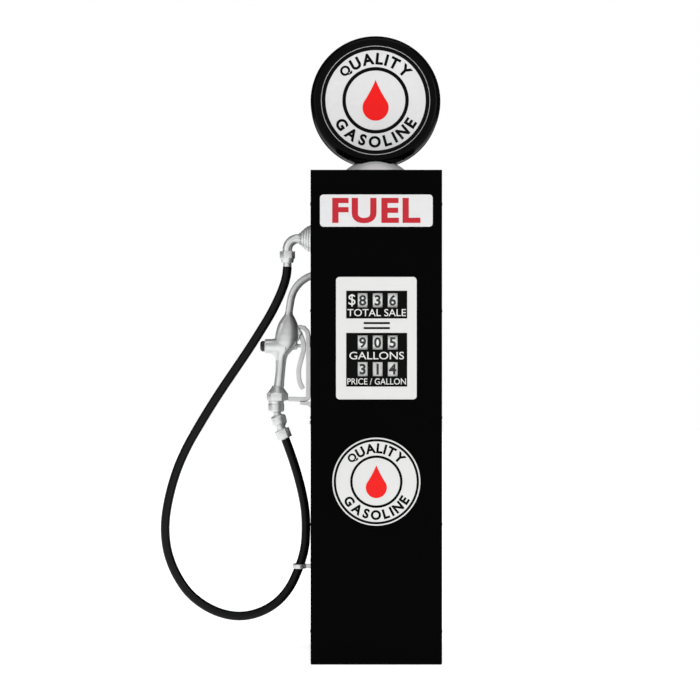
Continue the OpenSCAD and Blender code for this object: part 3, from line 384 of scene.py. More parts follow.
def arcWord(text, radius, spanDeg, height, depth, weight, low=False):
    # letters set round a circle by their own widths; low ones stand on the circle's inside
    letters = [None if c == " " else lettering(c, height, depth, weight) for c in text]
    widths = [0.4 * height if bm is None else widthOf(bm) for bm in letters]
    length = radians(spanDeg) * radius
    gap = (length - sum(widths)) / (len(widths) - 1)
    along = -length / 2
    parts = []
    for bm, width in zip(letters, widths):
        a = (along + width / 2) / radius
        along += width + gap
        if bm is None:
            continue
        shift = Matrix.Translation((0, -radius if low else radius, 0))
        turn = Matrix.Rotation(a if low else -a, 4, "Z")
        bmesh.ops.transform(bm, matrix=turn @ shift, verts=bm.verts)
        parts.append(bm)
    return joined(*parts)


def annulus(inner, outer, depth, matrix, steps=128):
    return turned([(inner, 0), (inner, depth), (outer, depth), (outer, 0), (inner, 0)],
                  matrix, steps)


def remeshed(bm, voxelMm, passes, cutter):
    # melts joined solids into one cast skin with soft fillets, then cuts the slot out of it
    knifeMesh = bpy.data.meshes.new("knife")
    cutter.to_mesh(knifeMesh)
    cutter.free()
    knife = bpy.data.objects.new("knife", knifeMesh)
    bpy.context.scene.collection.objects.link(knife)
    mesh = bpy.data.meshes.new("cast")
    bm.to_mesh(mesh)
    bm.free()
    holder = bpy.data.objects.new("cast", mesh)
    bpy.context.scene.collection.objects.link(holder)
    skin = holder.modifiers.new("skin", "REMESH")
    skin.mode = "VOXEL"
    skin.voxel_size = voxelMm * mm
    soften = holder.modifiers.new("soften", "SMOOTH")
    soften.factor = 0.5
    soften.iterations = passes
    cut = holder.modifiers.new("cut", "BOOLEAN")
    cut.operation = "DIFFERENCE"
    cut.object = knife
    bpy.context.view_layer.update()
    result = bpy.data.meshes.new_from_object(
        holder.evaluated_get(bpy.context.evaluated_depsgraph_get()))
    bpy.data.objects.remove(holder)
    bpy.data.objects.remove(knife)
    return result


# the camera stands level, straight in front
camera = {"x": -0.08, "z": 0.957, "distance": 5.0, "lens": 84.6}

cameraData = bpy.data.cameras.new("camera")
cameraData.lens = camera["lens"]
cameraData.sensor_width = 36
cameraData.clip_end = 100
cameraObject = bpy.data.objects.new("camera", cameraData)
cameraObject.location = (camera["x"], frontY - camera["distance"], camera["z"])
cameraObject.rotation_euler = (pi / 2, 0, 0)
bpy.context.scene.collection.objects.link(cameraObject)
bpy.context.scene.camera = cameraObject
bpy.context.scene.view_settings.view_transform = "Standard"
print("camera set")

# hose: the route is (out from the wall, depth, height) in millimetres, from nut to nozzle
hoseLook = {"radiusMm": 14, "stepsPerPoint": 6, "clipPoint": 25}
hoseRoute = [
    (76, -50, 1217), (79, -50, 1190), (87, -50, 1160), (103, -50, 1120), (128, -50, 1070),
    (158, -50, 1020), (198, -50, 957), (240, -48, 895), (282, -46, 833), (322, -43, 771),
    (360, -40, 708), (395, -37, 645), (425, -34, 575), (447, -30, 500), (460, -26, 425),
    (460, -22, 360), (448, -18, 300), (422, -14, 240), (385, -10, 188), (335, -6, 148),
    (278, -2, 123), (220, 2, 116), (162, 6, 129), (110, 10, 160), (70, 14, 207),
    (40, 18, 272), (24, 22, 330), (20, 26, 390), (23, 30, 450), (34, 34, 510),
    (50, 37, 570), (68, 39, 625), (86, 40, 674),
]
hosePath = smoothPath([(wallX - x * mm, y * mm, z * mm) for x, y, z in hoseRoute],
                      hoseLook["stepsPerPoint"])
hose = addPiece("fuel_hose", tubeMesh(hosePath, hoseLook["radiusMm"] * mm), "cabinet",
                "hoseRubber", 50)
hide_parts("hose")

# the cabinet's panels and the works keep their shape, and the panels get a soft pressed edge
cadLooks = {
    "stoveEnamel": ["top_plate", "front_panel", "left_panel", "right_panel", "rear_door",
                    "panel_screws"],
    "primedSteel": ["base_frame", "corner_posts", "door_hinges"],
    "faceWhite": ["dial_face"],
    "dialGlass": ["dial_glass"],
    "wheelIvory": ["price_cards", *[f"{row}_wheel_{i}" for row in ("sale", "gallons")
                                    for i in (1, 2, 3)]],
    "turnedAlloy": ["door_lock", "valve_stem"],
    "spunAlloy": ["globe_holder"],
    "capBlack": ["drive_belt"],
    "greyPaint": ["motor_housing", "junction_box"],
    "redOxide": ["air_separator"],
    "millSteel": ["suction_pipe", "delivery_pipes", "spout_socket"],
    "zincPlate": ["shelves", "sign_box", "register_frame", "register_gearbox", "drive_shaft",
                  "motor_rotor", "pump_rotor", "fixing_bolts"],
    "greyIron": ["pump_housing", "meter"],
    "lampOpal": ["sign_lamp", "globe_lamp"],
    "castAlloy": ["swivel_socket"],
}
softEdgeMm = {"top_plate": 1.2, "front_panel": 0.6, "left_panel": 0.6, "right_panel": 0.6,
              "rear_door": 0.6, "dial_face": 1.0}
for material, names in cadLooks.items():
    for name in names:
        part = nodes[name]
        part.data.materials.clear()
        part.data.materials.append(materials[material])
        weld = part.modifiers.new("weld", "WELD")
        weld.merge_threshold = 1e-5
        if name in softEdgeMm:
            edge = part.modifiers.new("softEdge", "BEVEL")
            edge.width = softEdgeMm[name] * mm
            edge.segments = 2
            edge.limit_method = "ANGLE"
            edge.angle_limit = softAngle
print("cabinet and works dressed")

# sign: a lit panel with thick block letters
sign = {"word": "FUEL", "letterMm": 77, "blockMm": 268, "weight": 0.034, "space": 1.12,
        "edgeMm": 1.6, "cornerMm": 11, "inkMm": 0.5}
signLow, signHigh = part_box("sign_lens")
signMiddle = (signLow + signHigh) / 2
lens = plate(roundRect(signHigh.x - signLow.x, signHigh.z - signLow.z, sign["cornerMm"] * mm),
             signHigh.y - signLow.y, onFront(signMiddle.x, signHigh.y, signMiddle.z))
signLens = addPiece("sign_face", lens, "cabinet", "opalAcrylic",
                    bevelMm=sign["edgeMm"])
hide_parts("sign_lens")
word = lettering(sign["word"], sign["letterMm"] * mm, sign["inkMm"] * mm, sign["weight"],
                 sign["space"])
bmesh.ops.scale(word, verts=word.verts, vec=(sign["blockMm"] * mm / widthOf(word), 1, 1))
bmesh.ops.transform(word, matrix=onFront(signMiddle.x, signLow.y, signMiddle.z),
                    verts=word.verts)
addPiece("sign_letters", word, "cabinet", "redInk")
print("sign done")

# globe: a black shell round two opal lenses
globe = {"bezelMm": 24, "rings": [(156.8, 168.7), (93, 104)], "inkMm": 0.35,
         "topWord": "QUALITY", "lowWord": "GASOLINE", "wordRadiusMm": 130, "letterMm": 36.5,
         "topSpan": 106, "lowSpan": 124, "weight": 0.042, "dropMm": 128}
bodyLow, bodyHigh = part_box("globe_body")
globeMiddle = (bodyLow + bodyHigh) / 2
globeRadius = (bodyHigh.x - bodyLow.x) / 2 / mm
globeHalf = (bodyHigh.y - bodyLow.y) / 2 / mm
lensLow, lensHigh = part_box("globe_lenses")
lensRadius = (lensHigh.x - lensLow.x) / 2 / mm
lensHalf = (lensHigh.y - lensLow.y) / 2 / mm
rim = globeRadius - globe["bezelMm"]
# the shell's outline is (radius, forward, rounding) in millimetres
front = [
    (lensRadius - 5, lensHalf - 5, 0), (lensRadius + 0.3, lensHalf - 5, 0),
    (lensRadius + 0.3, globeHalf - 1, 3), (lensRadius + 5, globeHalf, 4),
    (globeRadius - 8, globeHalf, 18), (globeRadius, globeHalf - 22, 26),
]
body = [(x, y, r) for x, y, r in front] + [(x, -y, r) for x, y, r in front[::-1]]
inside = [(lensRadius - 5, -lensHalf + 8, 0), (rim, -lensHalf + 8, 6),
          (globeRadius - 5, -globeHalf + 30, 12), (globeRadius - 5, globeHalf - 30, 12),
          (rim, lensHalf - 8, 6), (lensRadius - 5, lensHalf - 8, 0)]
ring = [(p.x * mm, p.y * mm) for p in roundedOutline(body + inside, 7)]
globeFacing = onFront(0, 0, globeMiddle.z)
globeBody = addPiece("globe_shell", turned(ring + ring[:1], globeFacing, 160), "cabinet",
                     "mouldedBlack", 30)
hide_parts("globe_body")

opal = []
for side in (1, -1):
    outline = profile([(0, lensHalf - 4, 0), (lensRadius, lensHalf - 4, 0),
                       (lensRadius, lensHalf, 1.5), (0, lensHalf, 0)])
    matrix = globeFacing if side > 0 else globeFacing @ Matrix.Rotation(pi, 4, "X")
    opal.append(turned(outline, matrix, 160))
globeLens = addPiece("globe_opal_lenses", joined(*opal), "cabinet",
                     "opalAcrylic")
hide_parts("globe_lenses")


def dropOutline(height):
    # a falling drop: a round bottom drawn up to a point
    r = height * 0.32
    low = -height / 2 + r
    points = [(r * cos(a), low + r * sin(a)) for a in
              [radians(25 - 230 * k / 24) for k in range(25)]]
    tip = (0, height / 2)
    left = [Vector(points[-1]), Vector((-0.35 * r, height * 0.22)), Vector(tip)]
    bend = [left[0] * (1 - t) ** 2 + left[1] * 2 * t * (1 - t) + left[2] * t * t
            for t in [k / 8 for k in range(1, 9)]]
    mirror = [(-p.x, p.y) for p in bend[-2::-1]]
    return points + [(p.x, p.y) for p in bend] + mirror


def printedFace(name, facing, scale, rings, letterMm):
    # rings, words and the drop, as thin films of ink on a round face
    ink = globe["inkMm"] * mm
    black = [annulus(a * scale * mm, b * scale * mm, ink, facing) for a, b in rings]
    for text, span, low in ((globe["topWord"], globe["topSpan"], False),
                            (globe["lowWord"], globe["lowSpan"], True)):
        arc = arcWord(text, globe["wordRadiusMm"] * scale * mm, span,
                      letterMm * scale * mm, ink, globe["weight"], low)
        bmesh.ops.transform(arc, matrix=facing, verts=arc.verts)
        black.append(arc)
    addPiece(name + "_black", joined(*black), "cabinet", "blackInk")
    drop = plate(dropOutline(globe["dropMm"] * scale * mm), ink, facing)
    addPiece(name + "_drop", drop, "cabinet", "scarletInk")


for side, turn in (("front", 0), ("rear", pi)):
    facing = globeFacing @ Matrix.Rotation(turn, 4, "Y") @ Matrix.Translation(
        (0, 0, lensHalf * mm))
    printedFace("globe_" + side + "_print", facing, 1.0, globe["rings"], globe["letterMm"])
print("globe done")

# medallion: a smaller disc with the globe's print
medal = {"edgeMm": 2.2, "rings": [(157, 166), (92.5, 102)], "letterMm": 38.5, "scale": 0.78}
medalLow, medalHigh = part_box("medallion")
medalMiddle = (medalLow + medalHigh) / 2
medalRadius = (medalHigh.x - medalLow.x) / 2 / mm
thick = (medalHigh.y - medalLow.y) / mm
disc = turned(profile([(0, 0, 0), (medalRadius, 0, 0), (medalRadius, thick, medal["edgeMm"]),
                       (0, thick, 0)]),
              onFront(medalMiddle.x, medalHigh.y, medalMiddle.z), 128)
medallion = addPiece("medallion_disc", disc, "cabinet", "faceWhite")
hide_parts("medallion")
printedFace("medallion_print", onFront(medalMiddle.x, medalLow.y, medalMiddle.z),
            medal["scale"], medal["rings"], medal["letterMm"])
print("medallion done")

# dial: fields and bars are (left, right, low, high) in millimetres from its middle, and
# captions are (words, height of the line, height of the letters, width)
dial = {"fields": [(-91.5, 93.6, 59.8, 144), (-91.5, 93.6, -147, 16)],
        "bars": [(-38.6, 41, 42.7, 48.8), (-38.6, 41, 27.5, 33.6)], "inkMm": 0.4,
        "windowX": (-41.6, 4.0, 49.6), "windowMm": (29.5, 43),
        "rowZ": (115, -13.4, -94.2),
        "captions": [("TOTAL SALE", 77.5, 22, 178), ("GALLONS", -53, 23, 166),
                     ("PRICE / GALLON", -131.5, 19, 178)],
        "weight": 0.004, "captionMm": 0.2, "captionX": 1, "liftMm": 0.5, "dollarMm": 38,
        "dollarAt": (-74, 115)}
dialLow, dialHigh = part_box("dial_face")
dialMiddle = (dialLow + dialHigh) / 2


def piercedField(field):
    # a black field as a grid whose window cells are taken out, then given its thickness
    x0, x1, z0, z1 = field
    half = (dial["windowMm"][0] / 2, dial["windowMm"][1] / 2)
    xs = sorted({x0, x1, *[x + s * half[0] for x in dial["windowX"] for s in (-1, 1)]})
    rows = [z for z in dial["rowZ"] if z0 < z < z1]
    zs = sorted({z0, z1, *[z + s * half[1] for z in rows for s in (-1, 1)]})
    bm = bmesh.new()
    bmesh.ops.create_grid(bm, x_segments=len(xs) - 1, y_segments=len(zs) - 1, size=1)
    for v in bm.verts:
        i = round((v.co.x + 1) / 2 * (len(xs) - 1))
        k = round((v.co.y + 1) / 2 * (len(zs) - 1))
        v.co = (xs[i] * mm, zs[k] * mm, 0)
    holes = []
    for face in bm.faces:
        c = face.calc_center_median() / mm
        inX = any(abs(c.x - x) < half[0] for x in dial["windowX"])
        if inX and any(abs(c.y - z) < half[1] for z in rows):
            holes.append(face)
    bmesh.ops.delete(bm, geom=holes, context="FACES")
    bmesh.ops.solidify(bm, geom=bm.faces[:], thickness=-dial["inkMm"] * mm)
    return bm


dialPlace = onFront(0, dialLow.y, dialMiddle.z)
black = [piercedField(field) for field in dial["fields"]]
for x0, x1, z0, z1 in dial["bars"]:
    bar = plate([(x0 * mm, z0 * mm), (x1 * mm, z0 * mm), (x1 * mm, z1 * mm), (x0 * mm, z1 * mm)],
                dial["inkMm"] * mm, Matrix.Identity(4))
    black.append(bar)
fields = joined(*black)
bmesh.ops.transform(fields, matrix=dialPlace, verts=fields.verts)
addPiece("dial_print_black", fields, "cabinet", "blackInk")

captions = []
for text, z, height, width in dial["captions"]:
    caption = lettering(text, height * mm, dial["captionMm"] * mm, dial["weight"])
    bmesh.ops.scale(caption, verts=caption.verts, vec=(width * mm / widthOf(caption), 1, 1))
    bmesh.ops.translate(caption, verts=caption.verts,
                        vec=(dial["captionX"] * mm, z * mm, dial["liftMm"] * mm))
    captions.append(caption)
dollar = lettering("$", dial["dollarMm"] * mm, dial["captionMm"] * mm)
bmesh.ops.translate(dollar, verts=dollar.verts, vec=(
    dial["dollarAt"][0] * mm, dial["dollarAt"][1] * mm, dial["liftMm"] * mm))
words = joined(*captions, dollar)
bmesh.ops.transform(words, matrix=dialPlace, verts=words.verts)
addPiece("dial_print_white", words, "cabinet", "whiteInk")

# number wheels: ten figures bent round each rim
figures = {"heightMm": 33, "inkMm": 0.25, "weight": 0.03, "liftMm": 0.13,
           "shown": {"sale": (8, 3, 6), "gallons": (9, 0, 5)}, "price": (3, 1, 4)}


def bentFigure(digit, radius, angle):
    bm = lettering(str(digit), figures["heightMm"] * mm, figures["inkMm"] * mm,
                   figures["weight"])
    half = figures["heightMm"] * mm / 2
    for k in range(1, 10):
        bmesh.ops.bisect_plane(bm, geom=bm.verts[:] + bm.edges[:] + bm.faces[:],
                               plane_co=(0, -half + 2 * half * k / 10, 0), plane_no=(0, 1, 0))
    for v in bm.verts:
        a = v.co.y / radius + angle
        r = radius + v.co.z + figures["inkMm"] * mm / 2
        v.co = (v.co.x, -r * cos(a), r * sin(a))
    return bm


for row in ("sale", "gallons"):
    for i in range(3):
        name = f"{row}_wheel_{i + 1}"
        low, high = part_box(name)
        middle = (low + high) / 2
        radius = (high.z - low.z) / 2
        shown = figures["shown"][row][i]
        ring = joined(*[bentFigure(d, radius, (d - shown) * tau / 10) for d in range(10)])
        bmesh.ops.translate(ring, verts=ring.verts, vec=middle)
        addPiece(name + "_figures", ring, name, "figureInk", 60)

cardLow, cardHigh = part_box("price_cards")
cards = []
for x, digit in zip(dial["windowX"], figures["price"]):
    card = lettering(str(digit), figures["heightMm"] * mm, figures["inkMm"] * mm,
                     figures["weight"])
    bmesh.ops.transform(card, matrix=onFront(x * mm, cardLow.y - figures["liftMm"] * mm,
                                             (cardLow.z + cardHigh.z) / 2), verts=card.verts)
    cards.append(card)
addPiece("price_figures", joined(*cards), "cabinet", "figureInk")
print("dial done")

# outlet: ribbed bell, elbow, swivel nut and ferrule;
# the bell's line is (out from the wall, radius), and a ridge stands between each two points
outlet = {"pipeMm": 15, "bendMm": 34, "ridgeMm": 2,
          "bellLine": [(0, 42), (9, 39.2), (18, 34), (27, 26.4), (35, 18.4), (40, 16)]}
elbowLow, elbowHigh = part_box("outlet_elbow")
worksY = (elbowLow.y + elbowHigh.y) / 2
outletZ = elbowHigh.z - outlet["pipeMm"] * mm
elbowX = elbowLow.x + outlet["pipeMm"] * mm
bellPlace = Matrix.Translation((wallX, worksY, outletZ)) @ Matrix.Rotation(-pi / 2, 4, "Y")
bellSkin = [(37, 0)]
for (a, ra), (b, rb) in zip(outlet["bellLine"], outlet["bellLine"][1:]):
    bellSkin.append((ra, a))
    bellSkin += [(ra + (rb - ra) * t + outlet["ridgeMm"], a + (b - a) * t) for t in (0.25, 0.75)]
bellSkin += [(16, 40), (15.3, 40), (15.3, 30), (34, 3), (37, 0)]
bell = addPiece("outlet_escutcheon", turned([(r * mm, h * mm) for r, h in bellSkin],
                                            bellPlace, 72), "cabinet",
                "castAlloy", 50)
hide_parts("outlet_bell")

bend = outlet["bendMm"] * mm
corner = Vector((elbowX + bend, worksY, outletZ - bend))
elbowPath = [Vector((wallX, worksY, outletZ)), Vector((wallX - 0.02, worksY, outletZ))]
elbowPath += [corner + Vector((-bend * sin(a), 0, bend * cos(a)))
              for a in [pi / 2 * k / 16 for k in range(17)]]
elbowPath.append(Vector((elbowX, worksY, elbowLow.z)))
elbow = addPiece("outlet_pipe", tubeMesh(elbowPath, outlet["pipeMm"] * mm), "cabinet",
                 "castAlloy", 50)
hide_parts("outlet_elbow")


def hexNut(radius, low, high, chamfer, matrix, turnDeg):
    # a six-sided nut: its upright edges are softened, then its corners are turned off
    def isUpright(edge):
        return abs(edge.verts[0].co.z - edge.verts[1].co.z) > 1e-5

    bm = bmesh.new()
    bmesh.ops.create_cone(bm, cap_ends=True, segments=6, radius1=radius, radius2=radius,
                          depth=high - low)
    bmesh.ops.translate(bm, verts=bm.verts, vec=(0, 0, (low + high) / 2))
    bmesh.ops.bevel(bm, geom=[e for e in bm.edges if isUpright(e)],
                    offset=chamfer * 0.8, affect="EDGES", segments=3, profile=0.5, material=-1)
    rims = [e for e in bm.edges if not isUpright(e) and len(e.link_faces) == 2
            and e.calc_face_angle(0) > 1]
    bmesh.ops.bevel(bm, geom=rims, offset=chamfer, affect="EDGES", segments=3, profile=0.5,
                    material=-1)
    bmesh.ops.transform(bm, matrix=matrix @ Matrix.Rotation(radians(turnDeg), 4, "Z"),
                        verts=bm.verts)
    return bm


nutLow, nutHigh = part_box("swivel_nut")
nutRadius = (nutHigh.x - nutLow.x) / 2
down = Matrix.Translation((elbowX, worksY, nutLow.z))
swivel = {"lowMm": 26, "highMm": 49, "chamferMm": 1.6, "turnDeg": 38}
nutParts = [
    turned(profile([(0, 0, 0), (12.9, 0, 0.6), (12.9, 13, 0), (0, 13, 0)]), down),
    turned(profile([(0, 12.6, 0), (18.4, 12.6, 2), (21, 26.6, 0), (0, 26.6, 0)]), down),
    hexNut(nutRadius, swivel["lowMm"] * mm, swivel["highMm"] * mm, swivel["chamferMm"] * mm,
           down, swivel["turnDeg"]),
]
swivelNut = addPiece("swivel_nut_and_ferrule", joined(*nutParts), "cabinet",
                     "castAlloy", 40)
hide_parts("swivel_nut")
print("outlet done")

# hose clip: a band round the hose, an arm and a foot plate on the wall
clip = {"wallMm": 3, "highMm": 14, "innerMm": 18.4, "armMm": 9, "footMm": (20, 35),
        "footCornerMm": 4, "footUpMm": 10.5}
clipX, clipY, clipZ = (v * mm for v in hoseRoute[hoseLook["clipPoint"]])
clipMiddle = Vector((wallX - clipX, clipY, clipZ))
half = clip["highMm"] / 2
clipOuter = clip["innerMm"] + clip["wallMm"]
bandOutline = [(p.x * mm, p.y * mm) for p in roundedOutline(
    [(clip["innerMm"], -half, 0.8), (clipOuter, -half, 1.2), (clipOuter, half, 1.2),
     (clip["innerMm"], half, 0.8)], 3)]
band = turned(bandOutline + bandOutline[:1], Matrix.Translation(clipMiddle), 64)
armStart = clipMiddle.x + (clip["innerMm"] + 2.4) * mm  # the arm starts inside the band's wall
armEnd = wallX - 2 * mm
arm = bmesh.new()
bmesh.ops.create_cube(arm, size=1)
bmesh.ops.scale(arm, verts=arm.verts, vec=(armEnd - armStart, clip["armMm"] * mm,
                                           clip["highMm"] * mm))
bmesh.ops.translate(arm, verts=arm.verts, vec=((armEnd + armStart) / 2, clipMiddle.y,
                                               clipMiddle.z))
foot = plate(roundRect(clip["footMm"][0] * mm, clip["footMm"][1] * mm, clip["footCornerMm"] * mm),
             clip["wallMm"] * mm, onWall(clipMiddle.y, clipMiddle.z + clip["footUpMm"] * mm))
clipPiece = addPiece("hose_clip_band", joined(band, arm, foot), "cabinet",
                     "castAlloy", bevelMm=0.6)
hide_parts("hose_clip")

# nozzle hook: a plate on the wall and a tab that runs out on a curve
hook = {"plateMm": 5, "cornerMm": 10, "tabDropMm": 712.7, "tabMm": 24, "curveMm": 15}
hookLow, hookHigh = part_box("nozzle_hook")
nozzleY = (hookLow.y + hookHigh.y) / 2
hookTop = topZ - hook["tabDropMm"] * mm
back = plate(roundRect(hookHigh.y - hookLow.y, hookHigh.z - hookLow.z, hook["cornerMm"] * mm),
             hook["plateMm"] * mm, onWall(nozzleY, (hookLow.z + hookHigh.z) / 2))
curve = hook["curveMm"] * mm
tabIn = wallX - 5 * mm - curve
tabUnder = hookTop - 11 * mm
tabLine = [(wallX - 4.5 * mm, hookTop), (hookLow.x, hookTop), (hookLow.x, hookTop - 9 * mm),
           (tabIn, tabUnder)]
tabLine += [(tabIn + curve * sin(a), tabUnder - curve + curve * cos(a))
            for a in [pi / 2 * k / 8 for k in range(9)]]
tab = plate(tabLine, hook["tabMm"] * mm, onFront(0, nozzleY + hook["tabMm"] * mm / 2, 0))
hookPiece = addPiece("nozzle_hanger", joined(back, tab), "cabinet", "castAlloy",
                     bevelMm=1.2)
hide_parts("nozzle_hook")
print("clip and hook done")

# nozzle: rings of the casting are (height, sideways place, half width, half depth) in
# millimetres from the swivel, and flatness presses the wide rings' fronts flat
nozzle = {
    "rings": [(306, 40.5, 12.6, 12.6), (298, 39.8, 13.6, 13.2), (285, 38.6, 22, 19),
              (271, 37.4, 29.6, 24), (252, 36, 34.6, 27.5), (232, 34, 36.9, 29.5),
              (212, 32, 36.2, 29), (194, 28.4, 31.7, 26), (180, 22.4, 25.9, 22.5),
              (167, 16.4, 20.4, 19), (153, 15.4, 17, 16.4), (128, 14, 15.6, 15),
              (113, 13, 15.3, 15), (88, 10.2, 15.6, 15.4), (66, 8.3, 16.6, 16.6)],
    "flatness": 0.45, "stubZ": 197, "stubMm": 66.5, "cheekMm": 8, "voxelMm": 1.25,
    "smoothPasses": 10, "slotMm": (30, 14.5, 90), "slotAtMm": (4, 0, -20),
}
tilt = [j for j in frame["joints"] if j["name"] == "nozzle_tilt"][0]
squeeze = [j for j in frame["joints"] if j["name"] == "lever_squeeze"][0]
pivot = Vector(tilt["pos_m"])
hinge = Vector(squeeze["pos_m"])

casting = bmesh.new()
loops = []
for z, x, halfW, halfD in nozzle["rings"]:
    made = bmesh.ops.create_circle(casting, cap_ends=False, segments=48, radius=1)["verts"]
    flat = 1 - nozzle["flatness"] * min(1, max(0, (halfW - 17) / 20))
    for v in made:
        v.co.y = copysign(abs(v.co.y) ** flat, v.co.y)
    bmesh.ops.scale(casting, verts=made, vec=(halfW * mm, halfD * mm, 1))
    bmesh.ops.translate(casting, verts=made, vec=pivot + Vector((x * mm, 0, z * mm)))
    loops.append(list({e for v in made for e in v.link_edges}))
for upper, lower in zip(loops, loops[1:]):
    bmesh.ops.bridge_loops(casting, edges=upper + lower)
bmesh.ops.holes_fill(casting, edges=casting.edges, sides=0)
bmesh.ops.recalc_face_normals(casting, faces=casting.faces)

# the stem's stub, its boss behind the lever, a web below the stub and the rivet's two cheeks
stubAt = Vector((pivot.x + 30 * mm, nozzleY, pivot.z + nozzle["stubZ"] * mm))
leftwards = Matrix.Translation(stubAt) @ Matrix.Rotation(-pi / 2, 4, "Y")
stub = turned(profile([(0, 0, 0), (27, 0, 0), (25.5, 30, 8), (23.2, 44, 8),
                       (23, nozzle["stubMm"], 2.5), (0, nozzle["stubMm"], 0)]), leftwards, 96)
rightwards = Matrix.Translation(stubAt + Vector((0, 0, mm))) @ Matrix.Rotation(pi / 2, 4, "Y")
boss = turned(profile([(0, 0, 0), (15, 0, 0), (13.5, 28, 3), (12.5, 38, 1.5), (0, 38, 0)]),
              rightwards)
flareFrom = Vector((stubAt.x - 52 * mm, nozzleY, stubAt.z - 9 * mm))
flareTo = Vector((pivot.x + 16 * mm, nozzleY, stubAt.z - 24 * mm))
flareLength = (flareTo - flareFrom).length
flare = turned([(0, 0), (12 * mm, 0), (19 * mm, flareLength), (0, flareLength)],
               towards(flareFrom, flareTo), 48)
cheeks = []
cheekOutline = [(p.x * mm, p.y * mm) for p in roundedOutline(
    [(-32, -38, 0), (-16, -36, 10), (-3, -22, 14), (3, -3, 9), (0, 12, 9), (-14, 28, 14),
     (-32, 34, 0)])]
for middle in (-11.5, 11.5):
    cheekFront = nozzleY + (middle + nozzle["cheekMm"] / 2) * mm
    cheeks.append(plate(cheekOutline, nozzle["cheekMm"] * mm,
                        onFront(hinge.x, cheekFront, hinge.z)))
leverSlot = bmesh.new()
bmesh.ops.create_cube(leverSlot, size=1)
bmesh.ops.scale(leverSlot, verts=leverSlot.verts, vec=[v * mm for v in nozzle["slotMm"]])
bmesh.ops.translate(leverSlot, verts=leverSlot.verts,
                    vec=hinge + Vector([v * mm for v in nozzle["slotAtMm"]]))
castingMesh = remeshed(joined(casting, stub, boss, flare, *cheeks), nozzle["voxelMm"],
                       nozzle["smoothPasses"], leverSlot)
castingPiece = linkPiece("nozzle_casting", castingMesh, "nozzle", "castAlloy", 80)
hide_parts("nozzle_body")
print("nozzle casting:", len(castingMesh.polygons))

capAt = Matrix.Translation(Vector((stubAt.x - nozzle["stubMm"] * mm, nozzleY, stubAt.z))) \
    @ Matrix.Rotation(-pi / 2, 4, "Y")
cap = turned(profile([(0, 0, 0), (17, 0, 0), (17, 9, 4), (12, 14, 4), (0, 14.5, 0)]), capAt, 48)
capPiece = addPiece("stem_end_cap", cap, "nozzle", "capBlack", 50)
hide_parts("stem_cap")

# the spout leans, runs straight, bends level into the wall and ends in a rolled lip
spoutLook = {"radiusMm": 12, "leanDeg": 9, "footMm": (40, 0, 303), "straightMm": 40,
             "bendMm": 100}
spoutLean = radians(spoutLook["leanDeg"])
spoutFoot = pivot + Vector([v * mm for v in spoutLook["footMm"]])
lean = Vector((sin(spoutLean), 0, cos(spoutLean)))
side = Vector((cos(spoutLean), 0, -sin(spoutLean)))
bendAt = spoutFoot + lean * spoutLook["straightMm"] * mm
centre = bendAt + side * spoutLook["bendMm"] * mm
spoutPath = [spoutFoot, bendAt]
spoutPath += [centre + Vector((-cos(a), 0, sin(a))) * spoutLook["bendMm"] * mm
              for a in [spoutLean + (pi / 2 - spoutLean) * k / 24 for k in range(1, 25)]]
spoutTube = tubeMesh(spoutPath, spoutLook["radiusMm"] * mm, 10)
tip = spoutPath[-1]
lip = turned(profile([(0, -6, 0), (12.1, -6, 0), (12.6, -3, 1), (12.6, 0, 1.2), (10, 0, 1),
                      (9.5, -5, 0), (0, -5, 0)]), towards(tip, tip + Vector((1, 0, 0))))
spout = addPiece("nozzle_spout", joined(spoutTube, lip), "nozzle",
                 "turnedAlloy", 50)
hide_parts("spout")

# lever: a cast strip with rounded edges, its line (out, up) from its rivet in millimetres
leverLook = {"widthMm": 15, "thickMm": 12, "eyeMm": 8, "edgeMm": 2.2,
             "line": [(0, 0), (10, -29), (11, -54), (3, -86), (-4, -118), (-2, -153), (9, -178)]}
leverPath = smoothPath([(x * mm, y * mm, 0) for x, y in leverLook["line"]], 6)
leverThick = leverLook["thickMm"]
leverPlace = onFront(hinge.x, nozzleY + leverThick * mm / 2, hinge.z)
strip = plate(ribbon([(p.x, p.y) for p in leverPath], leverLook["widthMm"] * mm),
              leverThick * mm, leverPlace)
eye = turned(profile([(0, 0, 0), (leverLook["eyeMm"], 0, 0.8),
                      (leverLook["eyeMm"], leverThick, 0.8), (0, leverThick, 0)]), leverPlace, 40)
lever = addPiece("nozzle_lever", joined(strip, eye), "lever", "castAlloy",
                 bevelMm=leverLook["edgeMm"])
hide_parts("lever")
pin = turned(profile([(0, 0, 0), (3, 0, 0), (3, 33, 0.5), (0, 33, 0)]),
             onFront(hinge.x, nozzleY + 16 * mm, hinge.z), 24)
head = turned(profile([(0, 0, 0), (4.6, 0, 0), (4.6, 1.6, 1), (0, 2.4, 0)]),
              onFront(hinge.x, nozzleY - 15 * mm, hinge.z), 32)
pinPiece = addPiece("lever_rivet", joined(pin, head), "nozzle", "turnedAlloy")
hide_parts("lever_pin")

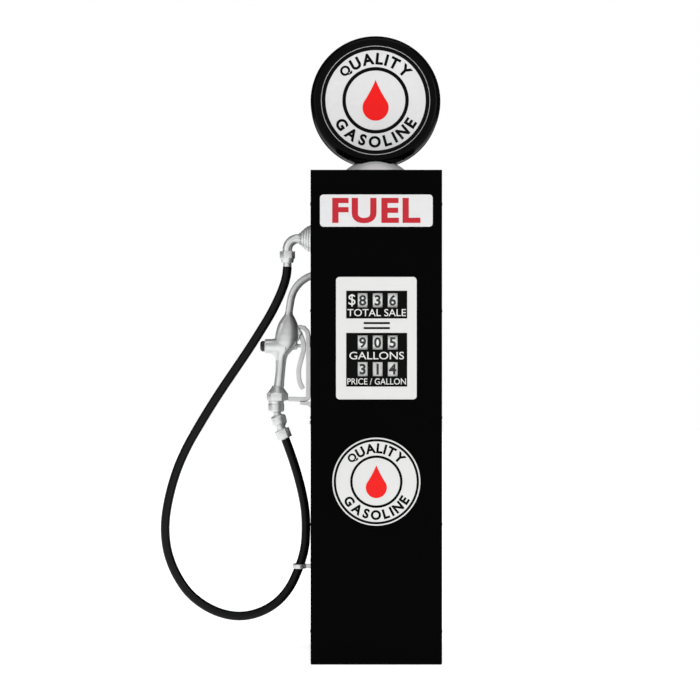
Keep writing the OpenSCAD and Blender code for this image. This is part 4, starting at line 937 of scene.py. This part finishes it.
# guard: one bent bar from the casting round to the collar, its line (across, up) in millimetres
guardLook = {"widthMm": 14.5, "depthMm": 14, "cornerMm": 10, "edgeMm": 2.4,
             "top": [(-247, 1029), (-238, 1030), (-226, 1027)]}
guardLow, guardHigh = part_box("guard")
guardOut = guardHigh.x / mm - guardLook["widthMm"] / 2
guardFoot = guardLow.z / mm + 7
guardLine = guardLook["top"] + [(guardOut - 3, 1016)]
guardLine += [(guardOut, z) for z in (1000, 960, 900, 850, 822)]
guardCorner = guardLook["cornerMm"]
guardLine += [(guardOut - guardCorner + guardCorner * cos(a),
               guardFoot + guardCorner - guardCorner * sin(a))
              for a in [pi / 2 * k / 6 for k in range(7)]]
guardLine += [(-250, guardFoot), (guardLow.x / mm, guardFoot + 1)]
guardStrip = plate(ribbon([(x * mm, z * mm) for x, z in guardLine], guardLook["widthMm"] * mm),
                   guardLook["depthMm"] * mm,
                   onFront(0, nozzleY + guardLook["depthMm"] * mm / 2, 0))
guard = addPiece("lever_guard", guardStrip, "nozzle", "castAlloy",
                 bevelMm=guardLook["edgeMm"])
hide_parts("guard")

# collar nut: a hexagon with soft shoulders drawn up to the grip
collarNut = {"radiusMm": 34.6, "highMm": 24, "chamferMm": 2, "turnDeg": 26}
collarLow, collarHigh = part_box("collar_nut")
collarAt = Matrix.Translation(((collarLow.x + collarHigh.x) / 2, nozzleY, collarLow.z))
collarParts = [
    hexNut(collarNut["radiusMm"] * mm, 0, collarNut["highMm"] * mm,
           collarNut["chamferMm"] * mm, collarAt, collarNut["turnDeg"]),
    turned(profile([(0, 22, 0), (30, 22, 0), (31, 25, 1.5), (20, 40, 4), (16.8, 47, 1),
                    (0, 47, 0)]), collarAt, 64),
]
collar = addPiece("collar_ring_nut", joined(*collarParts), "nozzle", "castAlloy",
                  40)
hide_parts("collar_nut")

# the cup that turns on the swivel's ball
cupAt = Matrix.Translation(pivot)
cupOutline = [(p.x * mm, p.y * mm) for p in roundedOutline(
    [(19.6, -3, 0), (18, -8, 0), (19.2, -11, 0.5), (23.5, -11, 2), (25.3, -6, 2), (25.3, 12, 2),
     (24, 14, 1), (24, 18, 1), (25.2, 20, 1), (25.2, 24, 1), (12, 24, 1), (12, 18, 0)], 4)]
cup = addPiece("swivel_cup", turned(cupOutline + cupOutline[:1], cupAt, 64), "nozzle",
               "castAlloy", 40)
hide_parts("swivel_socket")

# the ball, its knuckle and the hose's nut stay with the hose
hoseEndNut = {"knuckleMm": (14, 0, -60), "radiusMm": 24.5, "chamferMm": 2.2, "ballMm": 14}
knuckle = pivot + Vector(hoseEndNut["knuckleMm"]) * mm
hoseEnd = hosePath[-1]
line = towards(pivot, knuckle)
reach = (knuckle - pivot).length / mm
ballParts = [
    turned(profile([(0, -19, 0), (9, -16.7, 0), (16, -10.2, 0), (19, 0, 0), (16.5, 9.4, 0),
                    (11.5, 15.1, 0), (11.5, 24, 0), (0, 24, 0)]), line, 48),
    turned(profile([(0, 21, 0), (15, 21, 1.5), (15.4, 26.5, 1), (0, 26.5, 0)]), line, 48),
    turned(profile([(0, 24, 0), (20, 24, 2), (23.4, 29, 3), (23.8, 40, 1), (23.4, reach - 11, 3),
                    (19, reach - 6, 2), (16.5, reach - 0.5, 1), (0, reach - 0.5, 0)]), line, 64),
]
ball = addPiece("swivel_ball_joint", joined(*ballParts), "cabinet",
                "castAlloy", 40)
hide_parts("swivel_ball")
nutLine = towards(hoseEnd, knuckle)
nutReach = (knuckle - hoseEnd).length / mm
ballArc = [(hoseEndNut["ballMm"] * cos(a) * mm, hoseEndNut["ballMm"] * sin(a) * mm)
           for a in [pi * (k / 8 - 0.5) for k in range(9)]]
hoseNutParts = [
    turned(ballArc, Matrix.Translation(knuckle), 48),
    hexNut(hoseEndNut["radiusMm"] * mm, 1.5 * mm, (nutReach - 9) * mm,
           hoseEndNut["chamferMm"] * mm, nutLine, 0),
    turned(profile([(0, 0, 0), (15.6, 0, 0.6), (15.6, 4, 0), (0, 4, 0)]), nutLine, 48),
    turned(profile([(0, nutReach - 12, 0), (16, nutReach - 12, 0), (15, nutReach - 4.5, 1),
                    (11, nutReach - 3, 0), (0, nutReach - 2, 0)]), nutLine, 48),
]
hoseNut = addPiece("hose_end_nut", joined(*hoseNutParts), "cabinet",
                   "castAlloy", 40)
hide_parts("hose_nut")
print("nozzle done")

# floor, room and lamps
stage = {"floor": "#f6f6f6", "floorGlow": 0.62, "floorHalf": 14, "fromFront": 0.34,
         "fromBehind": 0.08, "fromAbove": 0.9, "card": 0.9, "cardSides": 0.04}
floorMesh = bmesh.new()
bmesh.ops.create_grid(floorMesh, x_segments=1, y_segments=1, size=stage["floorHalf"])
mesh = bpy.data.meshes.new("floor")
floorMesh.to_mesh(mesh)
floorMesh.free()
floor = bpy.data.objects.new("floor", mesh)
bpy.context.scene.collection.objects.link(floor)
floorPaint = bpy.data.materials.new("paleFloor")
floorPaint.use_nodes = True
floorShader = floorPaint.node_tree.nodes["Principled BSDF"]
floorShader.inputs["Base Color"].default_value = toLinear(stage["floor"])
floorShader.inputs["Roughness"].default_value = 0.9
floorShader.inputs["Emission Color"].default_value = (1, 1, 1, 1)
floorShader.inputs["Emission Strength"].default_value = stage["floorGlow"]
mesh.materials.append(floorPaint)

world = bpy.data.worlds.new("studio")
bpy.context.scene.world = world
world.use_nodes = True
tree = world.node_tree
tree.nodes.clear()
ray = addNode(tree, "ShaderNodeLightPath")
seen = addNode(tree, "ShaderNodeBackground", {"Color": (1, 1, 1, 1), "Strength": 1.0})
direction = addNode(tree, "ShaderNodeTexCoord").outputs["Generated"]
split = addNode(tree, "ShaderNodeSeparateXYZ", {"Vector": direction})
# soft light from the front, more from above, and a dim room behind so the edges stay dark
frontLight = addNode(tree, "ShaderNodeMapRange", {
    "Value": split.outputs["Y"], "From Min": -0.7, "From Max": 0.3,
    "To Min": stage["fromFront"], "To Max": stage["fromBehind"]})
topLight = addNode(tree, "ShaderNodeMapRange", {
    "Value": split.outputs["Z"], "From Min": 0.35, "From Max": 0.9, "To Min": 0.0,
    "To Max": stage["fromAbove"]})
strength = addNode(tree, "ShaderNodeMath", {
    0: frontLight.outputs[0], 1: topLight.outputs[0]}, operation="ADD")
# metal sees a bright card in front and dark walls at its sides, which draws its edges
card = addNode(tree, "ShaderNodeMapRange", {
    "Value": split.outputs["Y"], "From Min": -0.85, "From Max": 0.0, "To Min": stage["card"],
    "To Max": stage["cardSides"]})
level = addNode(tree, "ShaderNodeMix", {
    "Factor": ray.outputs["Is Glossy Ray"], "A": strength.outputs[0], "B": card.outputs[0]})
lit = addNode(tree, "ShaderNodeBackground", {
    "Color": (1, 1, 1, 1), "Strength": level.outputs[0]})
mixed = addNode(tree, "ShaderNodeMixShader", {
    "Fac": ray.outputs["Is Camera Ray"], 1: lit.outputs[0], 2: seen.outputs[0]})
addNode(tree, "ShaderNodeOutputWorld", {"Surface": mixed.outputs[0]})

lamps = {
    "leftSoftbox": dict(at=(-3.2, -2.6, 2.2), size=(1.0, 2.6), power=18),
    "rightSoftbox": dict(at=(3.1, -3.2, 2.2), size=(0.7, 2.4), power=40),
    "overhead": dict(at=(0.2, -1.2, 4.4), size=(2.6, 1.6), power=24),
}
for name, lamp in lamps.items():
    light = bpy.data.lights.new(name, "AREA")
    light.shape = "RECTANGLE"
    light.size, light.size_y = lamp["size"]
    light.energy = lamp["power"]
    holder = bpy.data.objects.new(name, light)
    holder.location = lamp["at"]
    aim = Vector((0, 0, 1.0)) - Vector(lamp["at"])
    holder.rotation_euler = aim.to_track_quat("-Z", "Y").to_euler()
    bpy.context.scene.collection.objects.link(holder)
print("stage done")
